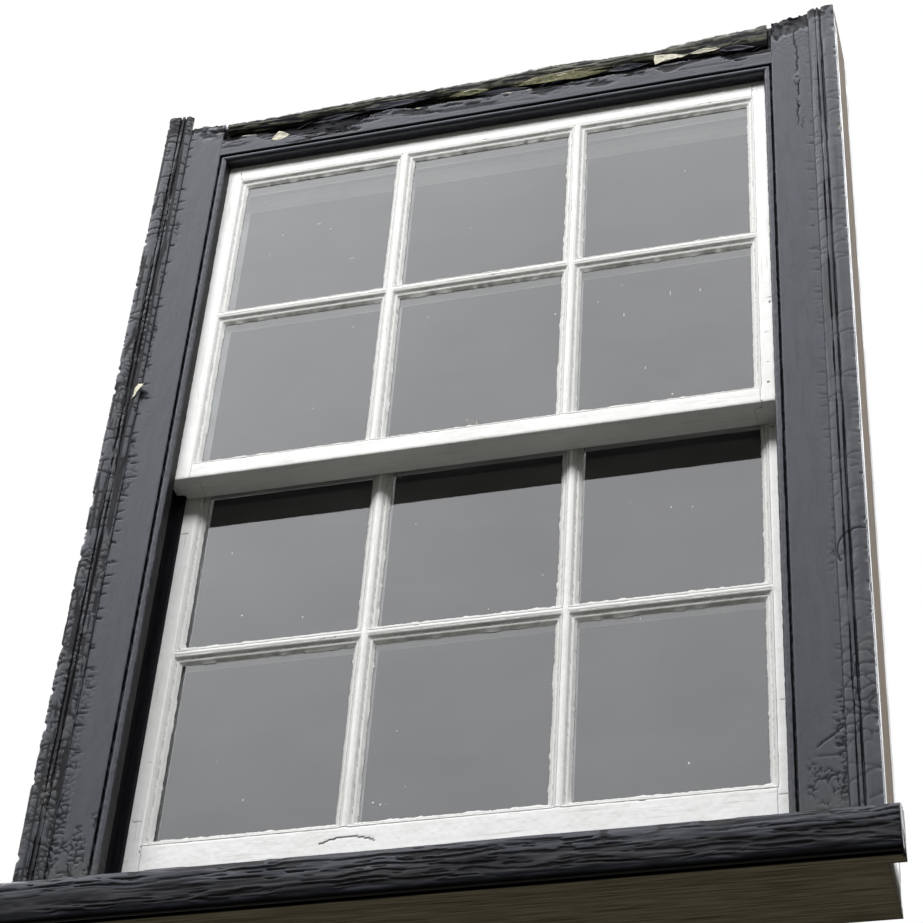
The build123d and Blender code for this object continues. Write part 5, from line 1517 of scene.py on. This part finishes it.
def timber_of(x, y, z, plan):
    """Which timber of a sash each place belongs to, as a number in the order of TIMBERS.

    In front of the glass the putty hides the rebate, so there the timbers are taken narrower."""
    deep = y - plan["front"] > 12.5 * MM
    cut = np.where(deep, 0, plan["rebate"])
    bar_place = (plan["pane"][0] + plan["bar"]) / 2
    from_upright = np.minimum(np.abs(x - bar_place), np.abs(x + bar_place))
    which = np.full(len(x), 5)
    which[from_upright < plan["bar"] / 2 - cut + 0.3 * MM] = 4
    which[z < plan["sight"] - cut] = 3
    which[z > plan["glass_top"] + cut] = 2
    which[x > plan["glazed_half"] + cut] = 1
    which[x < -plan["glazed_half"] - cut] = 0
    return which


def sash_woodwork(sash, plan):
    """Splits one rounded skin over all the timbers of a sash into a piece for each of them."""
    source = cad_copy(f"{sash}_timbers", TIMBERS[sash])
    rounded = source.modifiers.new("paint", "REMESH")
    rounded.mode = "VOXEL"
    rounded.voxel_size = bpy.context.scene.window_sash_paint.step
    mesh = baked(source, f"{sash}_skin")
    marks = weather_sash(mesh, sash, plan)
    points = points_of(mesh)
    corners = np.zeros(len(mesh.loops), np.int64)
    mesh.loops.foreach_get("vertex_index", corners)
    bpy.data.meshes.remove(mesh)
    quads = corners.reshape(-1, 4)
    which = timber_of(*points[quads].mean(1).T, plan)
    for index, name in enumerate(TIMBERS[sash]):
        used, faces = np.unique(quads[which == index], return_inverse=True)
        piece_mesh = bpy.data.meshes.new(name)
        piece_mesh.from_pydata(points[used].tolist(), [], faces.reshape(-1, 4).tolist())
        for key, values in marks.items():
            mark(piece_mesh, key, values[used])
        work = bmesh.new()
        work.from_mesh(piece_mesh)
        open_edges = [e for e in work.edges if e.is_boundary]
        capped = bmesh.ops.holes_fill(work, edges=open_edges, sides=0)["faces"]
        bmesh.ops.triangulate(work, faces=capped)
        work.to_mesh(piece_mesh)
        work.free()
        piece_mesh.polygons.foreach_set("use_smooth", np.ones(len(piece_mesh.polygons), bool))
        upright = "stile" in name or "upright" in name
        piece_mesh.materials.append(finish("white_z" if upright else "white_x"))
        dress(linked("painted_" + name, piece_mesh), f"{sash}_sash", "sash_paint", name)


def weather_sash(mesh, sash, plan):
    """Lumps, chips on the edges, fine cracks across the stiles and single marks; gives the marks."""
    settings = bpy.context.scene.window_sash_paint
    seed = 500 if sash == "upper" else 600
    points, normal = points_of(mesh), normals_of(mesh)
    x, y, z = points.T
    out = step(-0.2, -0.7, normal[:, 1])
    edge = step(0.93, 0.75, np.abs(normal).max(1)) * step(0.2, -0.1, normal[:, 1])
    lumps = 0.5 * rough(x / 16e-3, y / 12e-3, z / 16e-3, seed)
    lumps += 0.5 * rough(x / 5e-3, y / 5e-3, z / 5e-3, seed + 3, 2)
    chip = step(0.50, 0.62, noise(x / 7e-3, y / 7e-3, z / 7e-3, seed + 5)) * edge
    chip *= step(0.1, 0.4, noise(x / 60e-3, y / 60e-3, z / 60e-3, seed + 6))
    on_stile = step(-6 * MM, 0, np.abs(x) - plan["glazed_half"] - 8 * MM)
    lines = splits(z, x, 62 * MM, 1.5 * MM, seed + 7) * on_stile * out
    lines *= 0.6 * step(0.0, 0.4, noise(x / 12e-3, z / 50e-3, 0, seed + 9))
    if sash == "upper":
        for nail_x, nail_z, size in NAIL_MARKS:
            hole = step(size, 0.4 * size, np.hypot(x - nail_x, z - nail_z))
            lines = np.maximum(lines, out * hole)
    else:
        bow_x, bow_z = HAIRLINE_BOW
        bow = bow_z - 6 * (x - bow_x) ** 2 + 0.6 * MM * noise(x / 4e-3, 0, 0, seed + 11)
        hairline = step(1.7 * MM, 0.6 * MM, np.abs(z - bow)) * (np.abs(x - bow_x) < HAIRLINE_HALF)
        lines = np.maximum(lines, out * hairline)
    relief = settings.lumps * (lumps - 0.6) - 1.1 * MM * chip - 0.5 * MM * lines
    inside = step(2 * MM, 6 * MM, y - plan["front"])
    relief = np.where(out > 0.5, np.minimum(relief, 0.1 * MM), relief * (1 - 0.75 * inside))
    sides = np.abs(x) > high(f"{sash}_stile_right").x - 1 * MM
    relief[sides] = np.minimum(relief[sides], 0)
    set_points(mesh, points + normal * relief[:, None])
    return {"crack_and_shade": np.clip(lines, 0, 1), "bare": chip}


def putty_ring(plan, centre, seed):
    """One pane's ring of putty, which waves where the brush went, and the dark seams along it."""
    width, height = plan["pane"]
    rebate = plan["rebate"]
    cx, cz = centre
    path = []
    for (ax, az), (bx, bz) in zip(SQUARE, SQUARE[1:] + SQUARE[:1]):
        count = int((width if ax != bx else height) / (2.4 * MM))
        path += [(ax + (bx - ax) * i / count, az + (bz - az) * i / count) for i in range(count)]
    px, pz = np.array(path).T
    wave = rough(px * 30 + cx * 9, pz * 30 + cz * 9, 0, seed, 3)
    fine = rough(px * 90, pz * 90, cx, seed + 3, 2)
    blob = step(0.35, 0.7, noise(px * 12 + cx * 31, pz * 12 + cz * 17, 0, seed + 5))
    tip = -(1.1 + 0.9 * wave + 0.8 * fine + 1.3 * blob) * MM
    slope = 9.6 * MM
    line = 0.5 + 0.10 * wave
    # How far outside the sight line, how deep from the face of the sash, and whether a seam is there
    section = [
        (rebate - 0.1 * MM, (0.3 + 0.4 * wave) * MM, 0),
        (rebate * 0.80, 0.8 * MM + 0.22 * slope + 0.7 * MM * fine, 0),
        (rebate * (line + 0.10), 0.8 * MM + 0.38 * slope, 0),
        (rebate * line, 1.3 * MM + 0.54 * slope, 1),
        (rebate * (line - 0.08), 0.8 * MM + 0.50 * slope + 0.3 * MM * fine, 0),
        (rebate * 0.22, 0.8 * MM + 0.76 * slope - 0.5 * MM * blob, 0),
        (tip * 0.5, 10.9 * MM, 0),
        (tip, 11.45 * MM, 1),
        (rebate - 0.1 * MM, 11.45 * MM, 0),
    ]
    rings = np.empty((len(px), len(section), 3))
    seam = np.empty(rings.shape[:2])
    for i, (out, sink, dark) in enumerate(section):
        rings[:, i, 0] = cx + px * (width / 2 + out)
        rings[:, i, 1] = plan["front"] + sink
        rings[:, i, 2] = cz + pz * (height / 2 + out)
        seam[:, i] = 0.6 * dark * step(-0.3, 0.4, wave)
    return sweep(rings, closed=True), seam.reshape(-1)


class SASHWINDOW_OT_sashes(bpy.types.Operator):
    """Makes the white timbers of both sashes, with their putty"""

    bl_idname = "sash_window.sashes"
    bl_label = "Sashes"

    def execute(self, context):
        for sash in SASHES:
            plan = sash_plan(sash)
            sash_woodwork(sash, plan)
            rings = [putty_ring(plan, centre, 700 + i) for i, centre in enumerate(plan["centres"])]
            shells, seams = zip(*rings)
            putty = make_object(f"painted_{sash}_putty", *join_shells(shells), finish("putty"))
            mark(putty.data, "crack_and_shade", np.concatenate(seams))
            dress(putty, f"{sash}_sash", "putty", f"{sash}_putty")
        return {"FINISHED"}


# Glass

# Drips: x and z in metres, width and height in millimetres
DRIPS = {
    "upper": [
        (-0.263, 1.196, 8, 1.1), (-0.203, 1.111, 6, 1.4), (-0.357, 1.264, 2.2, 2.2),
        (-0.320, 1.185, 2, 2), (0.211, 0.915, 1.0, 8), (0.242, 0.810, 1.0, 7),
        (0.276, 0.944, 1.1, 9), (0.318, 0.942, 1.1, 6),
    ],
    "lower": [(-0.103, 0.191, 3.2, 2.6), (-0.093, 0.187, 2.4, 3.6), (-0.086, 0.186, 1.6, 1.6)],
}


def drips(name, sash, depth, material):
    """Flat beads of spilt paint on the panes."""
    cosines, sines = full_turn(14)
    shells = []
    for x, z, width, height in DRIPS[sash]:
        rings = np.empty((3, len(sines), 3))
        for i, (share, rise) in enumerate(((1.0, -0.05), (0.85, 0.3), (0.35, 0.45))):
            rings[i, :, 0] = x + share * width / 2 * MM * cosines
            rings[i, :, 1] = depth - rise * MM
            rings[i, :, 2] = z + share * height / 2 * MM * sines
        shells.append(sweep(rings))
    return make_object(name, *join_shells(shells), material)


def pane_mesh(plan):
    """One face on each pane of a sash, clear of the putty."""
    width, height = plan["pane"]
    vertices = [
        (cx + sx * width * 0.48, plan["glass_front"], cz + sz * height * 0.48)
        for cx, cz in plan["centres"]
        for sx, sz in SQUARE
    ]
    mesh = bpy.data.meshes.new("panes")
    mesh.from_pydata(vertices, [], [tuple(range(i, i + 4)) for i in range(0, len(vertices), 4)])
    return mesh


class SASHWINDOW_OT_glass(bpy.types.Operator):
    """Gives the panes their glass and scatters paint specks on them"""

    bl_idname = "sash_window.glass"
    bl_label = "Glass"

    def execute(self, context):
        settings = context.scene.window_glass
        for index, sash in enumerate(SASHES):
            coat("glass", f"{sash}_glass")
            plan = sash_plan(sash)
            width, height = plan["pane"]
            inputs = {
                "Density": settings.specks / (len(plan["centres"]) * width * height),
                "Radius": 0.9 * MM, "Seed": settings.seed + index,
            }
            tree = scatter_tree(
                "paint_specks", inputs, "GeometryNodeMeshIcoSphere",
                {"Radius": "Radius", "Subdivisions": 2}, None, ((0.45, 0.25, 0.45), (1.1, 0.35, 1.9)),
                finish("white_x"),
            )
            specks = grown(f"{sash}_paint_specks", pane_mesh(plan), tree, inputs)
            dress(specks, f"{sash}_sash", "putty")
            spilt = drips(f"{sash}_paint_drips", sash, plan["glass_front"], finish("white_x"))
            dress(spilt, f"{sash}_sash", "putty")
        return {"FINISHED"}


# Inside of the box, cords and metalwork

class SASHWINDOW_OT_box(bpy.types.Operator):
    """Gives the timbers of the box and of the room side their finish"""

    bl_idname = "sash_window.box"
    bl_label = "Box and room side"

    def execute(self, context):
        # The pulley stiles, head board and parting beads take the painted shadow of the reveal
        coat("reveal", "pulley_stile_left", "pulley_stile_right", "head_board", "parting_beads")
        coat("pine", "pocket_covers", "back_linings", "parting_slips")
        coat("white_z", "inner_lining_left", "inner_lining_right", "staff_bead_left", "staff_bead_right")
        coat("white_x", "parting_bead_head", "inner_lining_head", "staff_bead_head", "staff_bead_sill")
        return {"FINISHED"}


class SASHWINDOW_OT_metalwork(bpy.types.Operator):
    """Gives weights, wheels, cases, catch, lifts and screws their metal"""

    bl_idname = "sash_window.metalwork"
    bl_label = "Metalwork"

    def execute(self, context):
        for sash in SASHES:
            for name, _ in SIDES:
                coat("iron", f"sash_weight_{sash}_{name}", f"pulley_wheel_{sash}_{name}")
        coat("brass", "pulley_cases", "catch_base", "catch_lever", "catch_keeper", "sash_lifts")
        coat("steel", "frame_screws", "sash_screws")
        return {"FINISHED"}


def cord_run(name, x, y, bottom, top, material):
    """Straight run of cord with rings at its two ends only, so that it stretches evenly."""
    radius = bpy.context.scene.window_cord.radius
    cosines, sines = full_turn(16)
    ring = np.stack([x + radius * cosines, y + radius * sines, np.zeros(len(sines))], -1)
    rings = np.stack([ring + (0, 0, bottom), ring + (0, 0, top)])
    return make_object(name, *sweep(rings), material)


def knot(name, place, material):
    """Overhand knot: a thick tube on a trefoil path, pulled tight, closed on itself."""
    t = np.linspace(0, 2 * math.pi, 72, endpoint=False)
    path = [np.sin(t) + 1.3 * np.sin(2 * t), np.cos(t) - 1.3 * np.cos(2 * t), -1.6 * np.sin(3 * t)]
    path = 1.15 * MM * np.stack(path, -1)
    ahead = np.roll(path, -1, 0) - np.roll(path, 1, 0)
    ahead /= np.linalg.norm(ahead, axis=1)[:, None]
    side = np.cross(ahead, (0.0, 0.0, 1.0))
    side /= np.linalg.norm(side, axis=1)[:, None]
    up = np.cross(side, ahead)
    cosines, sines = (values[None, :, None] for values in full_turn(10))
    thick = bpy.context.scene.window_cord.radius * 0.62
    rings = path[:, None] + thick * (cosines * side[:, None] + sines * up[:, None])
    return make_object(name, *sweep(rings + np.asarray(place), closed=True), material)


def hung_cord(run_name, knot_name, body, top, eye, nodes=()):
    """A run of cord that stretches from its wheel to a body, and its knot there."""
    material = finish("cord")
    run = cord_run(run_name, eye[0], eye[1], eye[2], top[2], material)
    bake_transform(run)
    if nodes:
        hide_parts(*nodes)
    dress(knot(knot_name, eye, material), body, "cord")


class SASHWINDOW_OT_cords(bpy.types.Operator):
    """Makes the runs and knots of the cords; each run stretches between its wheel and its knot"""

    bl_idname = "sash_window.cords"
    bl_label = "Cords"

    def execute(self, context):
        coat("cord", "cord_bends")
        for sash in SASHES:
            lo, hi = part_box(f"{sash}_sash_cords")
            y = (lo.y + hi.y) / 2
            knot_radius = (hi.y - lo.y) / 2
            for name, side in SIDES:
                x = side * (hi.x - knot_radius)
                # One node holds both cords of a sash, so the left run stands for the two
                hung_cord(
                    f"{sash}_cord_{name}", f"{sash}_knot_{name}", f"{sash}_sash", (x, y, hi.z),
                    (x, y, lo.z + knot_radius), [f"{sash}_sash_cords"] if name == "left" else (),
                )
                node = f"weight_cord_{sash}_{name}"
                low_end, high_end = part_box(node)
                centre = (low_end + high_end) / 2
                hung_cord(
                    f"{sash}_weight_cord_{name}", f"{sash}_weight_knot_{name}",
                    f"weight_{sash}_{name}", (centre.x, centre.y, high_end.z),
                    (centre.x, centre.y, low_end.z + knot_radius), [node],
                )
        return {"FINISHED"}


class SASHWINDOW_PT_panel(bpy.types.Panel):
    bl_label = "Sash Window"
    bl_idname = "SASHWINDOW_PT_panel"
    bl_space_type = "VIEW_3D"
    bl_region_type = "UI"
    bl_category = "Sash Window"

    def draw(self, context):
        layout = self.layout
        for name, group in GROUPS.items():
            settings = getattr(context.scene, name)
            box = layout.box()
            box.label(text=group.__name__.replace("Settings", ""))
            for key in group.__annotations__:
                box.prop(settings, key)
        for operator in OPERATORS:
            layout.operator(operator.bl_idname)


OPERATORS = (
    SASHWINDOW_OT_stage,
    SASHWINDOW_OT_sill,
    SASHWINDOW_OT_jamb_linings,
    SASHWINDOW_OT_mouldings,
    SASHWINDOW_OT_head,
    SASHWINDOW_OT_sashes,
    SASHWINDOW_OT_glass,
    SASHWINDOW_OT_box,
    SASHWINDOW_OT_metalwork,
    SASHWINDOW_OT_cords,
)


def register():
    for group in GROUPS.values():
        bpy.utils.register_class(group)
    for name, group in GROUPS.items():
        setattr(bpy.types.Scene, name, PointerProperty(type=group))
    for operator in OPERATORS:
        bpy.utils.register_class(operator)
    bpy.utils.register_class(SASHWINDOW_PT_panel)


def unregister():
    bpy.utils.unregister_class(SASHWINDOW_PT_panel)
    for operator in reversed(OPERATORS):
        bpy.utils.unregister_class(operator)
    for name, group in GROUPS.items():
        delattr(bpy.types.Scene, name)
        bpy.utils.unregister_class(group)


def main():
    register()
    for operator in OPERATORS:
        category, name = operator.bl_idname.split(".")
        getattr(getattr(bpy.ops, category), name)()


if __name__ == "__main__":
    main()
